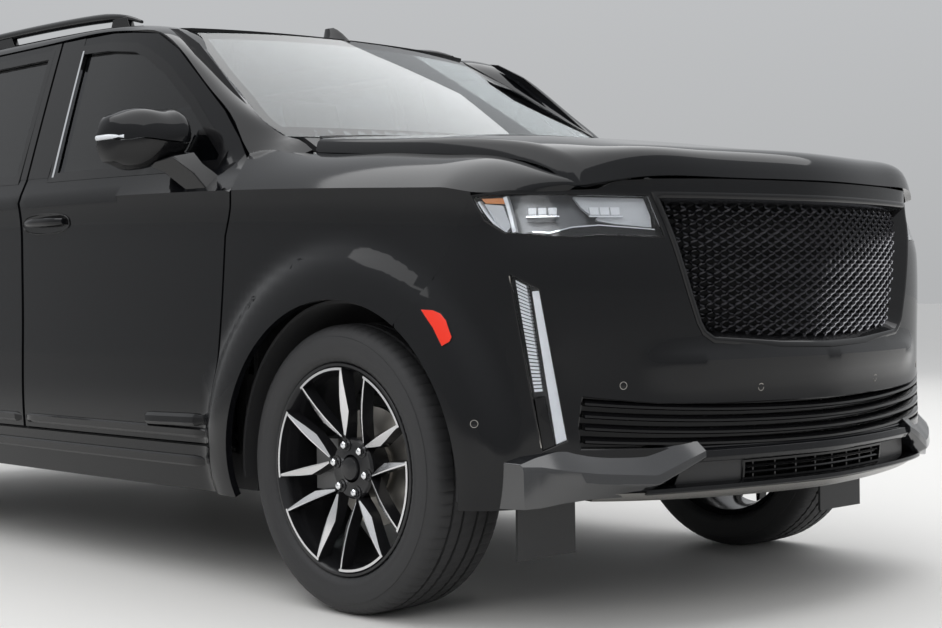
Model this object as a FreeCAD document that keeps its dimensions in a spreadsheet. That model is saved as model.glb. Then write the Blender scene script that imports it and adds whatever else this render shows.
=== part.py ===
"""Full-size luxury SUV: body on a ladder frame, four doors, hood, liftgate and steered front wheels.

Frame: +X forward, +Y to the car's left, +Z up, origin on the ground under the middle of the length.
Unless a comment says otherwise, x in a table is measured from an axle: F from the front, R from the rear.
"""
import FreeCAD
import Part
import Sketcher

import math
import os
from types import SimpleNamespace

Vector = FreeCAD.Vector
Rotation = FreeCAD.Rotation
doc = FreeCAD.newDocument("SUV")

# Driving dimensions: name, millimetres or degrees, meaning
SIZES = [
    ("wheelbase", 3071, "front axle to rear axle"),
    ("front_overhang", 975, "front axle to the lip under the grille"),
    ("rear_overhang", 1336, "rear axle to the rear bumper"),
    ("half_width", 1030, "middle to the wheel arch flare"),
    ("nose_reach", 960, "front axle to the grille's face"),
    ("tyre_radius", 414, "loaded radius, which is also the axle height"),
    ("tyre_width", 285, "section width"),
    ("rim_radius", 291, "bead seat to axle"),
    ("rim_lip_radius", 303, "outer edge of the rim's face"),
    ("rim_face", 991, "middle of the car to the rim's outer face"),
    ("hub_radius", 92, "pad behind the wheel nuts"),
    ("nut_circle", 139.7, "pitch circle of the wheel nuts"),
    ("nut_radius", 11, "wheel nut"),
    ("disc_radius", 172, "brake disc"),
    ("disc_thickness", 30, "brake disc"),
    ("spindle_radius", 34, "stub that carries the hub"),
    ("king_pin", 800, "middle of the car to the steering axis"),
    ("running_gap", 0.3, "between a shaft and its hole"),
    ("arch_radius", 482, "wheel opening around the axle"),
    ("flare_radius", 625, "outer edge of the arch flare"),
    ("liner_inner", 640, "middle of the car to a front liner's inner edge"),
    ("wheel_house", 700, "middle of the car to a rear wheel house"),
    ("sill_z", 300, "bottom of the body side"),
    ("rocker_z", 410, "top of the lower moulding"),
    ("waist_z", 800, "middle of the door"),
    ("shoulder_front_z", 1208, "shoulder crease over the front axle"),
    ("shoulder_rear_z", 1275, "shoulder crease over the rear axle"),
    ("belt_front_z", 1304, "belt line over the front axle"),
    ("belt_rear_z", 1356, "belt line over the rear axle"),
    ("roof_z", 1915, "top of the roof"),
    ("rail_z", 1948, "top of the roof rails"),
    ("sill_inset", 45, "from half_width at the sill"),
    ("rocker_inset", 27, "from half_width at the moulding"),
    ("waist_inset", 22, "from half_width at the waist"),
    ("shoulder_inset", 12, "from half_width at the shoulder"),
    ("belt_inset", 51, "from half_width at the belt"),
    ("front_taper", 80, "how far the greenhouse narrows by the foot of the door's window"),
    ("tumblehome", 0.308, "how far the side glass leans in for each unit of height"),
    ("door_thickness", 85, "whole lower door"),
    ("pillar_thickness", 50, "window frames and pillars"),
    ("fender_thickness", 40, "fender with its inner panel"),
    ("bumper_thickness", 70, "bumper cover with its foam"),
    ("roof_thickness", 32, "roof with its headliner"),
    ("hood_thickness", 30, "hood with its inner panel"),
    ("panel_gap", 9, "between a moving panel and its opening"),
    ("glass_thickness", 8, "every pane"),
    ("glass_depth", 12, "from the body's surface to the glass"),
    ("windshield_base", 330, "front axle back to the foot of the windshield"),
    ("windshield_foot_z", 1395, "height of that foot"),
    ("windshield_rake", 1.81, "how far the windshield goes back for each unit of height"),
    ("windshield_bow", 2130, "radius of the windshield seen from above"),
    ("windshield_edge", 798, "middle of the car to the widest place of the windshield"),
    ("seal_gap", 0.3, "between a closed panel and its rubber"),
    ("rail_inner", 380, "middle of the car to a frame rail's inner face"),
    ("rail_width", 90, "frame rail"),
    ("rail_height", 130, "frame rail"),
    ("rail_bottom", 450, "ground to the frame rail"),
    ("crossmember", 80, "frame crossmember"),
    ("seal_thickness", 12, "rubber seal behind a door's edge"),
    ("seal_lap", 25, "how far a seal runs behind the door"),
    ("liner_thickness", 10, "wheel arch liner"),
    ("tray_thickness", 12, "tray under the nose"),
    ("floor_z", 640, "cabin floor's underside"),
    ("load_floor_z", 780, "load floor's underside"),
    ("floor_thickness", 25, "floor sheet with its carpet"),
    ("seat_width", 520, "front and middle seats"),
    ("seat_centre", 400, "middle of the car to a seat's middle"),
    ("bench_width", 620, "each half of the rear bench"),
    ("bench_centre", 325, "middle of the car to the middle of a half bench"),
    ("seat_height", 300, "floor to the cushion's top"),
    ("seat_back", 620, "cushion's top to the top of the back"),
    ("cushion_depth", 500, "front to back of a cushion"),
    ("cushion_thickness", 150, "seat cushion and seat back"),
    ("wheel_ring", 185, "steering wheel's radius to its rim's middle"),
    ("wheel_grip", 15, "steering wheel's rim"),
    ("grille_half_top", 561, "half the grille's width at its top"),
    ("grille_half_bottom", 450, "half the grille's width at its bottom"),
    ("grille_top_z", 1150, "top of the grille"),
    ("grille_bottom_z", 790, "bottom corners of the grille"),
    ("grille_chin_z", 759, "bottom of the grille in the middle"),
    ("grille_frame", 22, "frame around the grille's mesh"),
    ("mesh_wire", 7, "wires of the mesh"),
    ("diamond_width", 90, "from one diamond of the mesh to the next, across"),
    ("diamond_height", 46, "from one diamond of the mesh to the next, upwards"),
    ("fin_height", 14, "bars under the grille"),
    ("fin_pitch", 30, "from one of those bars to the next"),
    ("fin_top_z", 593, "top of the highest of those bars"),
    ("receiver", 76, "outside of the tow hitch's square tube"),
    ("receiver_bore", 51, "inside of the tow hitch's square tube"),
    ("hitch_pin", 8, "radius of the cross hole for the drawbar's pin"),
]

sheet = doc.addObject("Spreadsheet::Sheet", "Sizes")
for row, (name, value, note) in enumerate(SIZES, start=1):
    sheet.set(f"A{row}", note)
    sheet.set(f"B{row}", str(value))
    sheet.setAlias(f"B{row}", name)
doc.recompute()
s = SimpleNamespace(**{name: float(sheet.get(name)) for name, _, _ in SIZES})

FRONT = (s.wheelbase + s.rear_overhang - s.front_overhang) / 2
REAR = FRONT - s.wheelbase
FRONT_X = "(Sizes.wheelbase + Sizes.rear_overhang - Sizes.front_overhang) / 2"
REAR_X = "(Sizes.rear_overhang - Sizes.front_overhang - Sizes.wheelbase) / 2"
AXLE_Z = s.tyre_radius
FAR = 3000
EPS = 0.3


# Outlines and solids

def wire(points):
    """Closed wire: a 3-D point adds a line to it, a pair of points an arc through the first."""
    edges = []
    start = last = points[0]
    for entry in points[1:] + [start]:
        if isinstance(entry, tuple):
            edges.append(Part.Arc(last, entry[0], entry[1]).toShape())
            last = entry[1]
        elif (entry - last).Length > 1e-6:
            edges.append(Part.LineSegment(last, entry).toShape())
            last = entry
    return Part.Wire(edges)


def side_outline(points, y=0.0):
    """Wire in a plane of constant y from (x, z) corners; four numbers are an arc via the first pair."""
    def place(x, z):
        return Vector(x, y, z)
    return wire([place(*p) if len(p) == 2 else (place(*p[:2]), place(*p[2:])) for p in points])


def front_outline(points, x=0.0):
    """Wire in a plane of constant x from (y, z) corners; four numbers are an arc via the first pair."""
    def place(y, z):
        return Vector(x, y, z)
    return wire([place(*p) if len(p) == 2 else (place(*p[:2]), place(*p[2:])) for p in points])


def grown(outline, distance):
    """The outline moved outwards, or inwards where the distance is negative."""
    return outline.makeOffset2D(distance, 2) if abs(distance) > 1e-6 else outline


def side_prism(outline, y_low, y_high):
    """Solid between two planes of constant y whose side view is the outline, drawn at y = 0."""
    face = Part.Face(outline.copy().translated(Vector(0, y_low, 0)))
    return face.extrude(Vector(0, y_high - y_low, 0))


def front_prism(outline, x_low, x_high):
    """Solid between two planes of constant x whose front view is the outline, drawn at x = 0."""
    face = Part.Face(outline.copy().translated(Vector(x_low, 0, 0)))
    return face.extrude(Vector(x_high - x_low, 0, 0))


def loft(wires):
    return Part.makeLoft(wires, True, True)


def cuboid(x, y, z):
    """Box between pairs of values."""
    x, y, z = sorted(x), sorted(y), sorted(z)
    return Part.makeBox(x[1] - x[0], y[1] - y[0], z[1] - z[0], Vector(x[0], y[0], z[0]))


def cylinder_y(radius, x, z, y_low, y_high):
    return Part.makeCylinder(radius, y_high - y_low, Vector(x, y_low, z), Vector(0, 1, 0))


def largest(shape, count=1):
    """The biggest solids of a boolean's result, so that slivers are dropped."""
    solids = sorted(shape.Solids, key=lambda solid: -solid.Volume)[:count]
    return solids[0] if count == 1 else Part.makeCompound(solids)


def flipped(shape):
    """The same shape on the other side of the car."""
    return shape.mirror(Vector(0, 0, 0), Vector(0, 1, 0))


def both_sides(shape):
    return Part.makeCompound(shape.Solids + flipped(shape).Solids)


# Document objects: primitives bound to the sheet, booleans of them, and shapes of the body

def block(name, x, y, z):
    """Box between pairs of formulas."""
    item = doc.addObject("Part::Box", name)
    for side, axis, (low, high) in (("Length", "x", x), ("Width", "y", y), ("Height", "z", z)):
        item.setExpression(side, f"({high}) - ({low})")
        item.setExpression(f"Placement.Base.{axis}", f"{low}")
    return item


TURNS = {"x": Rotation(Vector(0, 1, 0), 90), "y": Rotation(Vector(1, 0, 0), -90), "z": Rotation()}


def rod(name, axis, start, length, radius, radius2=None):
    """Cylinder, or cone, from a start given as three formulas."""
    item = doc.addObject("Part::Cylinder" if radius2 is None else "Part::Cone", name)
    item.Placement = FreeCAD.Placement(Vector(), TURNS[axis])
    if radius2 is None:
        item.setExpression("Radius", radius)
    else:
        item.setExpression("Radius1", radius)
        item.setExpression("Radius2", radius2)
    item.setExpression("Height", length)
    for letter, formula in zip("xyz", start):
        item.setExpression(f"Placement.Base.{letter}", f"{formula}")
    return item


def joined(name, items):
    item = doc.addObject("Part::MultiFuse", name)
    item.Shapes = items
    return item


def cut_from(name, base, tool):
    item = doc.addObject("Part::Cut", name)
    item.Base = base
    item.Tool = tool
    return item


def mirrored(name, source):
    item = doc.addObject("Part::Mirroring", name)
    item.Source = source
    item.Normal = Vector(0, 1, 0)
    return item


def group(name, items):
    item = doc.addObject("Part::Compound", name)
    item.Links = items
    return item


def pair(name, source):
    return group(name, [source, mirrored(f"{name}_left", source)])


def feature(name, shape):
    item = doc.addObject("Part::Feature", name)
    item.Shape = shape
    return item


NODES = []


def publish(item, node):
    item.Label = node
    NODES.append(item)


# Outer skin of the lower body

def height(front_z, rear_z, x):
    """Height at x of a line that is given over both axles."""
    return front_z + (rear_z - front_z) * (FRONT - x) / s.wheelbase


WIDEST = FRONT - 1400
TAPER_RUN = 850      # from the widest place to where front_taper is measured


def plan_wire(front_z, rear_z, inset, nose, tail, taper=0.0):
    """Closed outline of the body seen from above, on a plane that may slope along the car."""
    half = s.half_width - inset

    def at(x, y):
        return Vector(x, y, height(front_z, rear_z, x))

    def narrowed(x, y):
        return (x, y - taper * (max(x - WIDEST, 0) / TAPER_RUN) ** 2)

    # x and y along the right side: front corner, its middle, end of the corner, widest place, rear corner
    front_corner = narrowed(nose - 219, half - 218)
    corner_middle = narrowed(nose - 322, half - 109)
    front_side = narrowed(nose - 452, half - 66)
    front_middle = narrowed(nose - 1400, half - 16)
    widest = (WIDEST, half)
    rear_middle = (REAR + 100, half - 14)
    rear_side = (tail + 280, half - 62)
    rear_bend = (tail + 105, half - 134)
    rear_corner = (tail + 25, half - 300)
    run = [(front_corner, corner_middle, front_side), (front_side, front_middle, widest),
           (widest, rear_middle, rear_side), (rear_side, rear_bend, rear_corner)]
    corner_x, corner_y = front_corner
    edges = [Part.Arc(at(corner_x, corner_y), at(nose, 0), at(corner_x, -corner_y))]
    for first, middle, last in run:
        edges.append(Part.Arc(*[at(x, -y) for x, y in (first, middle, last)]))
    edges.append(Part.Arc(at(rear_corner[0], -rear_corner[1]), at(tail, 0), at(*rear_corner)))
    for first, middle, last in reversed(run):
        edges.append(Part.Arc(*[at(x, y) for x, y in (last, middle, first)]))
    return Part.Wire([edge.toShape() for edge in edges])


NOSE = FRONT + s.nose_reach
TAIL = REAR - s.rear_overhang

# Levels of the lower body: z over the front and rear axle, side inset, nose set-back, tail set-back, taper
LEVELS = [
    (s.sill_z, s.sill_z, s.sill_inset, 15, 46, 0),
    (s.rocker_z, s.rocker_z, s.rocker_inset, 0, 0, 0),
    (s.waist_z, s.waist_z, s.waist_inset, 0, 38, 0),
    (s.shoulder_front_z, s.shoulder_rear_z, s.shoulder_inset, 2, 60, 0),
    (s.belt_front_z, s.belt_rear_z, s.belt_inset, 40, 74, s.front_taper),
]


def lower_body(depth, levels=LEVELS):
    """Solid inside the lower body's skin, moved inwards by the depth."""
    return loft([plan_wire(z_front, z_rear, inset + depth, NOSE - nose - depth, TAIL + tail + depth, taper)
                 for z_front, z_rear, inset, nose, tail, taper in levels])


def open_bottom(z_low, depth, levels=LEVELS):
    """The same, with its lowest level carried down, so that cutting it leaves no floor."""
    first = levels[0]
    return lower_body(depth, [(z_low, z_low) + tuple(first[2:])] + list(levels[1:]))


# Greenhouse: side planes that lean in, a crowned roof, a raked windshield and tail
GLASS_FOOT = 60       # how far below the belt the greenhouse's inner space starts
CAP_TOP = 2050
REAR_RAKE = 0.355     # how far the tail glass goes forward for each unit of height

# Roof stations: x, roof edge below roof_z at the cant rail, at the roof's edge and in the middle
ROOF_STATIONS = [
    (FRONT - 250, 155, 143, 129),
    (FRONT - 1120, 115, 87, 69),
    (FRONT - 1600, 79, 49, 27),
    (FRONT - 2200, 72, 31, 0),
    (REAR - 250, 77, 37, 10),
    (REAR - 1300, 128, 96, 76),
]
CANT_Y = 823
ROOF_EDGE_Y = 735
WIDE_Y = 1100
PILLAR_SLANT = 0.89   # how far the pillar beside the windshield comes forward for each unit outwards


def roof_wire(x, cant_drop, edge_drop, middle_drop, depth):
    cant_z = s.roof_z - cant_drop - depth
    edge_z = s.roof_z - edge_drop - depth
    wide_z = cant_z - (WIDE_Y - CANT_Y) * (edge_z - cant_z) / (CANT_Y - ROOF_EDGE_Y)
    edge_y = ROOF_EDGE_Y - depth
    return front_outline([
        (-WIDE_Y, s.rocker_z), (-WIDE_Y, wide_z), (-edge_y, edge_z),
        (0, s.roof_z - middle_drop - depth, edge_y, edge_z), (WIDE_Y, wide_z), (WIDE_Y, s.rocker_z)], x)


def windshield_plan(z, shift):
    """Outline seen from above of everything ahead of the windshield's surface."""
    foot = FRONT - s.windshield_base - (z - s.windshield_foot_z) * s.windshield_rake - shift
    bow, edge = s.windshield_bow, s.windshield_edge
    edge_x = foot - bow + math.sqrt(bow ** 2 - edge ** 2)
    wide_x = edge_x + (WIDE_Y - edge) * PILLAR_SLANT
    ahead = FRONT + FAR
    return wire([Vector(wide_x, -WIDE_Y, z), Vector(edge_x, -edge, z),
                 (Vector(foot, 0, z), Vector(edge_x, edge, z)), Vector(wide_x, WIDE_Y, z),
                 Vector(ahead, WIDE_Y, z), Vector(ahead, -WIDE_Y, z)])


def ahead_of_windshield(shift):
    return loft([windshield_plan(z, shift) for z in (s.rocker_z, CAP_TOP)])


def cap(depth):
    """Solid between the greenhouse's leaning sides and tail, moved inwards by the depth, without a roof."""
    def cap_wire(rise):
        inset = s.belt_inset + depth + max(rise, 0) * s.tumblehome
        tail = TAIL + LEVELS[-1][4] + depth + rise * REAR_RAKE
        return plan_wire(s.belt_front_z + rise, s.belt_rear_z + rise, inset, NOSE, tail, s.front_taper)

    rises = [-GLASS_FOOT, 0] if depth else [0]
    return loft([cap_wire(rise) for rise in rises + [CAP_TOP - s.belt_rear_z]])


def greenhouse(side_depth, roof_depth, shift):
    """Solid inside the greenhouse's skin, with its sides, roof and windshield moved inwards."""
    roof = loft([roof_wire(*station, roof_depth) for station in ROOF_STATIONS])
    return cap(side_depth).common(roof).cut(ahead_of_windshield(shift))


WINDSHIELD_SHIFT = 70  # depth of the windshield's frame along x
outer_skin = lower_body(0).fuse(greenhouse(0, 0, 0))


def cabin(extra):
    """Space inside the doors, pillars and roof, moved inwards by the extra."""
    return open_bottom(0, s.door_thickness + extra).fuse(
        greenhouse(s.pillar_thickness + extra, s.roof_thickness + extra, WINDSHIELD_SHIFT + extra))


cabin_space = cabin(0)
shell = outer_skin.cut(cabin_space)


# Side view of the doors, from the axle that each corner follows
def F(x, z, *rest):
    return (FRONT + x, z) if not rest else (FRONT + x, z, FRONT + rest[0], rest[1])


def R(x, z, *rest):
    return (REAR + x, z) if not rest else (REAR + x, z, REAR + rest[0], rest[1])


DOOR_BOTTOM = s.sill_z + 148
CANT_LINE = s.roof_z - 77
FRONT_DOOR = [F(-1763, DOOR_BOTTOM), F(-1763, CANT_LINE), F(-1420, CANT_LINE - 6), F(-1291, CANT_LINE - 18),
              F(-1137, CANT_LINE - 38), F(-1003, 1731), F(-870, 1631), F(-705, 1502), F(-610, 1404),
              F(-505, 1266), F(-492, 1225), F(-503, 1177), F(-536, 1092), F(-551, 936), F(-593, 560),
              F(-580, DOOR_BOTTOM)]
REAR_DOOR = [F(-1771, DOOR_BOTTOM), R(560, DOOR_BOTTOM), R(520, 560), R(432, 760), R(300, 920),
             R(235, 1060), R(215, 1300), R(150, 1600), R(95, CANT_LINE - 20), R(20, CANT_LINE),
             F(-1771, CANT_LINE)]
FRONT_WINDOW = [F(-1595, 1333), F(-1600, 1785), F(-1420, 1778), F(-1246, 1756), F(-1025, 1663), F(-867, 1547),
                F(-753, 1444), F(-672, 1368), F(-680, 1326), F(-983, 1327)]
REAR_WINDOW = [F(-1840, 1338), R(300, 1353), R(240, 1600), R(185, 1770), R(150, 1795), F(-1830, 1792)]
QUARTER_WINDOW = [R(160, 1358), R(-840, 1372), R(-800, 1560), R(-760, 1740), R(-300, 1790), R(20, 1795)]
REAR_GATE = [(-800, 715), (-800, 1340), (-690, 1745), (-640, 1830), (-560, 1862), (560, 1862), (640, 1830),
             (690, 1745), (800, 1340), (800, 715)]
GATE_WINDOW = [(-690, 1385), (-600, 1700), (-560, 1745), (560, 1745), (600, 1700), (690, 1385)]
SCREEN = [(-785, 1402), (-798, 1452), (-735, 1640), (-641, 1828), (0, 1846, 641, 1828), (735, 1640),
          (798, 1452), (785, 1402)]
half_gap = s.panel_gap / 2
RIGHT = (-1200, -500)
REBATE = 12          # how far a door's rear edge steps back on its inner side, above the belt
REBATE_DEPTH = 20    # thickness of the edge outside that step
behind_doors = cap(s.pillar_thickness + s.panel_gap)


def side_panel(outline, window):
    """Door on the right: the shell inside the outline, no deeper than a pillar, with its window cut."""
    edge = side_outline(outline)
    door = shell.common(side_prism(grown(edge, -half_gap), *RIGHT)).cut(cap(s.pillar_thickness))
    inside = side_prism(grown(edge, -half_gap - REBATE), *RIGHT)
    step = side_prism(edge, *RIGHT).cut(inside).common(cap(REBATE_DEPTH))
    middle_x = (edge.BoundBox.XMin + edge.BoundBox.XMax) / 2
    rear_half = cuboid((-FAR, middle_x), RIGHT, (s.belt_front_z, CAP_TOP))
    return largest(door.cut(step.common(rear_half)).cut(side_prism(side_outline(window), *RIGHT)))


def pane_layer():
    """Thin layer of the greenhouse where the side and rear glass lies."""
    outside = greenhouse(s.glass_depth, s.roof_thickness, WINDSHIELD_SHIFT)
    return outside.cut(greenhouse(s.glass_depth + s.glass_thickness, s.roof_thickness, WINDSHIELD_SHIFT))


glass_layer = pane_layer()


def side_pane(window):
    return largest(glass_layer.common(side_prism(side_outline(window), *RIGHT)))


door_holes = [side_prism(grown(side_outline(outline), half_gap), *RIGHT).cut(behind_doors)
              for outline in (FRONT_DOOR, REAR_DOOR)]
gate_wall_x = (TAIL - 50, TAIL + 560)
gate_outline = front_outline(REAR_GATE)
gate_zone = front_prism(gate_outline, *gate_wall_x)
gate_hole = front_prism(grown(gate_outline, s.panel_gap), *gate_wall_x)
gate_window = front_prism(front_outline(GATE_WINDOW), *gate_wall_x)


# Wheel arches and their flares

def arch(axle_x, radius, y_low=-1300, y_high=-600):
    return cylinder_y(radius, axle_x, AXLE_Z, y_low, y_high)


def flare(axle_x):
    """Soft band around a right-hand wheel opening, flush at its outer edge and proud at its lip."""
    lip = s.arch_radius + 30
    proud = s.half_width
    flush = s.half_width - s.waist_inset - 30
    band = Part.makeCone(s.flare_radius + 60, lip, proud - flush, Vector(axle_x, -flush, AXLE_Z),
                         Vector(0, -1, 0))
    return band.common(cuboid((axle_x - FAR, axle_x + FAR), (-proud, -flush), (s.sill_z, 1150)))


# Front fenders: the side up to the shoulder, then a slope up to the hood
# Stations: x from the front axle, shoulder y and z, middle y and z, hood gap y and z
FENDER_TOP = [
    (-560, 1006, 1229, 910, 1335, 803, 1402),
    (-355, 1000, 1220, 905, 1305, 803, 1345),
    (-19, 981, 1209, 895, 1280, 803, 1319),
    (300, 962, 1200, 885, 1260, 803, 1293),
    (468, 948, 1195, 875, 1250, 803, 1277),
    (661, 880, 1188, 850, 1208, 790, 1229),
    (760, 790, 1183, 770, 1190, 745, 1195),
]


def fender_section(x, shoulder_y, shoulder_z, middle_y, middle_z, gap_y, gap_z):
    thick = s.fender_thickness
    return front_outline([(-shoulder_y, shoulder_z), (-middle_y, middle_z), (-gap_y, gap_z),
                          (-gap_y, gap_z - thick), (-middle_y + thick, middle_z - thick),
                          (-shoulder_y + thick, shoulder_z - thick / 2)], FRONT + x)


fender_top = loft([fender_section(*station) for station in FENDER_TOP])
LAMP_TIP = F(508, 1166)
FENDER_SIDE = [F(-620, s.sill_z), F(-620, 1500), F(780, 1500), F(780, 1170), LAMP_TIP, F(330, 895),
               F(250, 820), F(0, 700), F(-300, s.sill_z)]
fender_wall = lower_body(0).cut(open_bottom(0, s.fender_thickness))
fender_wall = fender_wall.common(cuboid((FRONT - 620, FRONT + 800), (-1200, -600), (s.sill_z, 1206)))
fender = fender_wall.fuse(fender_top).fuse(flare(FRONT).cut(lower_body(20)))
fender = fender.common(side_prism(side_outline(FENDER_SIDE), -1200, -600))
fender = largest(fender.cut(arch(FRONT, s.arch_radius)).cut(door_holes[0]))
publish(feature("Fenders", both_sides(fender)), "fenders")

# Tail lamps, one tall strip on each rear corner
TAIL_LAMP = [(-812, 860), (-812, 1342), (-735, 1640), (-800, 1640), (-905, 1342), (-928, 860)]
tail_lamp_zone = front_prism(front_outline(TAIL_LAMP), TAIL - 50, TAIL + 260)
tail_lamp_room = front_prism(grown(front_outline(TAIL_LAMP), -EPS), TAIL - 50, TAIL + 260 - EPS)
tail_lamp = largest(shell.common(tail_lamp_room))
publish(feature("TailLamps", both_sides(tail_lamp)), "tail_lamps")

# Body sides with the pillars, cant rails, sills and rear quarters
SEAM_Y = 735
BODY_FRONT = FRONT - 440
ROOF_ZONE_Z = 1700
side_zone = cuboid((TAIL - 50, BODY_FRONT), (-1200, -SEAM_Y), (s.sill_z - 10, CAP_TOP))
rear_zone = cuboid((TAIL - 50, REAR), (-1200, -600), (s.sill_z - 10, ROOF_ZONE_Z))
QUARTER_BOTTOM = 720
tail_corner = cuboid((TAIL - 50, REAR - s.arch_radius + 60), (-1200, 0), (0, QUARTER_BOTTOM))
side_shell = shell.common(side_zone.fuse(rear_zone))
side_shell = side_shell.fuse(flare(REAR).cut(lower_body(20)))
screen_prism = front_prism(front_outline(SCREEN), FRONT - 1500, FRONT)
side_tools = [arch(REAR, s.arch_radius), arch(FRONT, s.arch_radius), tail_corner, gate_hole,
              tail_lamp_zone, fender, side_prism(side_outline(QUARTER_WINDOW), *RIGHT), screen_prism]
for tool in side_tools + door_holes:
    side_shell = side_shell.cut(tool)
publish(feature("BodySides", both_sides(largest(side_shell))), "body_sides")

roof_zone = cuboid((TAIL, FRONT), (-SEAM_Y + EPS, SEAM_Y - EPS), (ROOF_ZONE_Z, CAP_TOP))
roof = shell.common(roof_zone).cut(gate_hole).cut(screen_prism)
publish(feature("Roof", largest(roof)), "roof_panel")

front_door = side_panel(FRONT_DOOR, FRONT_WINDOW)
rear_door = side_panel(REAR_DOOR, REAR_WINDOW)
for place, door, window in (("front", front_door, FRONT_WINDOW), ("rear", rear_door, REAR_WINDOW)):
    pane = side_pane(window)
    publish(feature(f"Door_{place}_right", door), f"door_{place}_right")
    publish(feature(f"Door_{place}_left", flipped(door)), f"door_{place}_left")
    publish(feature(f"Glass_{place}_right", pane), f"glass_{place}_right")
    publish(feature(f"Glass_{place}_left", flipped(pane)), f"glass_{place}_left")
publish(feature("QuarterGlass", both_sides(side_pane(QUARTER_WINDOW))), "quarter_glass")

liftgate = largest(shell.common(gate_zone).cut(gate_window))
publish(feature("Liftgate", liftgate), "liftgate")
rear_pane = largest(glass_layer.common(gate_window))
publish(feature("LiftgateGlass", rear_pane), "liftgate_glass")

screen_shift = 12
screen_layer = ahead_of_windshield(screen_shift + 2 * s.glass_thickness)
screen_layer = screen_layer.cut(ahead_of_windshield(screen_shift))
screen = screen_layer.common(screen_prism).common(outer_skin)
publish(feature("Windshield", largest(screen)), "windshield")
cowl_zone = cuboid((FRONT - 620, FRONT - 250), (-SEAM_Y + EPS, SEAM_Y - EPS), (1250, 1400))
publish(feature("Cowl", largest(shell.common(cowl_zone))), "cowl_panel")

# Hood: side views at several distances from the middle, each front edge on the nose's arc
NOSE_ARC = (800 ** 2 + 219 ** 2) / (2 * 219)


def nose_x(y, depth=0):
    """x of the nose's face at a distance from the middle."""
    return NOSE - depth - NOSE_ARC + math.sqrt(NOSE_ARC ** 2 - y ** 2)


# Hood profiles: y, rear edge x, its z, z at F -19, z at F 468, z 60 mm behind the front edge, front edge z
HOOD_PROFILES = [
    (795, -340, 1343, 1317, 1277, 1229, 1207),
    (768, -335, 1389, 1366, 1333, 1300, 1207),
    (420, -285, 1405, 1390, 1343, 1296, 1207),
    (0, -262, 1412, 1398, 1348, 1290, 1207),
]
HOOD_FRONT_SET = 8


def hood_section(y, rear_x, rear_z, z_axle, z_lamp, z_front, edge_z, side):
    front = nose_x(y, HOOD_FRONT_SET)
    thick = s.hood_thickness
    top = [(FRONT + rear_x, rear_z), F(-19, z_axle), F(468, z_lamp), (front - 60, z_front),
           (front, edge_z + 35), (front, edge_z)]
    under = [(front - thick, edge_z), (front - 60 - thick, z_front - thick), F(468, z_lamp - thick),
             F(-19, z_axle - thick), (FRONT + rear_x, rear_z - thick)]
    return side_outline(top + under, side * y)


hood_rows = [(row, -1) for row in HOOD_PROFILES] + [(row, 1) for row in reversed(HOOD_PROFILES[:-1])]
HOOD_EDGE = [(-450, 795), (560, 795), (661, 781), (760, 736), (1100, 560)]
hood_plan = wire([Vector(FRONT + x, -y, 1100) for x, y in HOOD_EDGE]
                 + [Vector(FRONT + x, y, 1100) for x, y in reversed(HOOD_EDGE)])
hood = loft([hood_section(*row, side) for row, side in hood_rows])
hood = largest(hood.common(Part.Face(hood_plan).extrude(Vector(0, 0, 400))))
publish(feature("Hood", hood), "hood")

# Nose: bumper cover with openings for the grille, the lamps and the lower intake
BUMPER_SIDE = [LAMP_TIP, F(780, 1170), F(780, 1199), F(1100, 1199), F(1100, 372), F(735, 345), F(470, 330),
               F(430, 480), F(260, 829), F(338, 892)]
LAMP_SIDE = [F(512, 1163), F(741, 1166), F(900, 1157), F(900, 1046), F(600, 1054), F(540, 1097)]
RUNNING_LAMP_SIDE = [F(635, 963), F(718, 925), F(762, 525), F(704, 523)]
GRILLE = [(-s.grille_half_top, s.grille_top_z), (-s.grille_half_bottom - 22, s.grille_bottom_z + 40),
          (-s.grille_half_bottom, s.grille_bottom_z), (-200, s.grille_chin_z), (200, s.grille_chin_z),
          (s.grille_half_bottom, s.grille_bottom_z), (s.grille_half_bottom + 22, s.grille_bottom_z + 40),
          (s.grille_half_top, s.grille_top_z)]
INTAKE = [(-440, 390), (-440, 446), (440, 446), (440, 390)]
INTAKE_SLATS = (408, 427)
INTAKE_POSTS = [-360 + 80 * i for i in range(10)]
nose_zone = (FRONT + 200, FRONT + 1100)


def nose_shell(depth, thickness):
    """Layer of the nose that starts at the depth below its skin."""
    return lower_body(depth).cut(open_bottom(0, depth + thickness))


lamp_prism = side_prism(side_outline(LAMP_SIDE), -1200, -585)
running_prism = side_prism(side_outline(RUNNING_LAMP_SIDE), -1200, -780)
grille_prism = front_prism(front_outline(GRILLE), *nose_zone)
intake_prism = front_prism(front_outline(INTAKE), *nose_zone)
bumper = nose_shell(0, s.bumper_thickness).common(side_prism(side_outline(BUMPER_SIDE), -1200, 1200))
nose_flare = flare(FRONT).cut(lower_body(20)).common(side_prism(side_outline(BUMPER_SIDE), -1200, 0))
bumper = bumper.fuse(both_sides(nose_flare))
for tool in (grille_prism, intake_prism, both_sides(lamp_prism), both_sides(running_prism),
             both_sides(arch(FRONT, s.arch_radius))):
    bumper = bumper.cut(tool)
bumper = largest(bumper.cut(both_sides(fender)))

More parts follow.
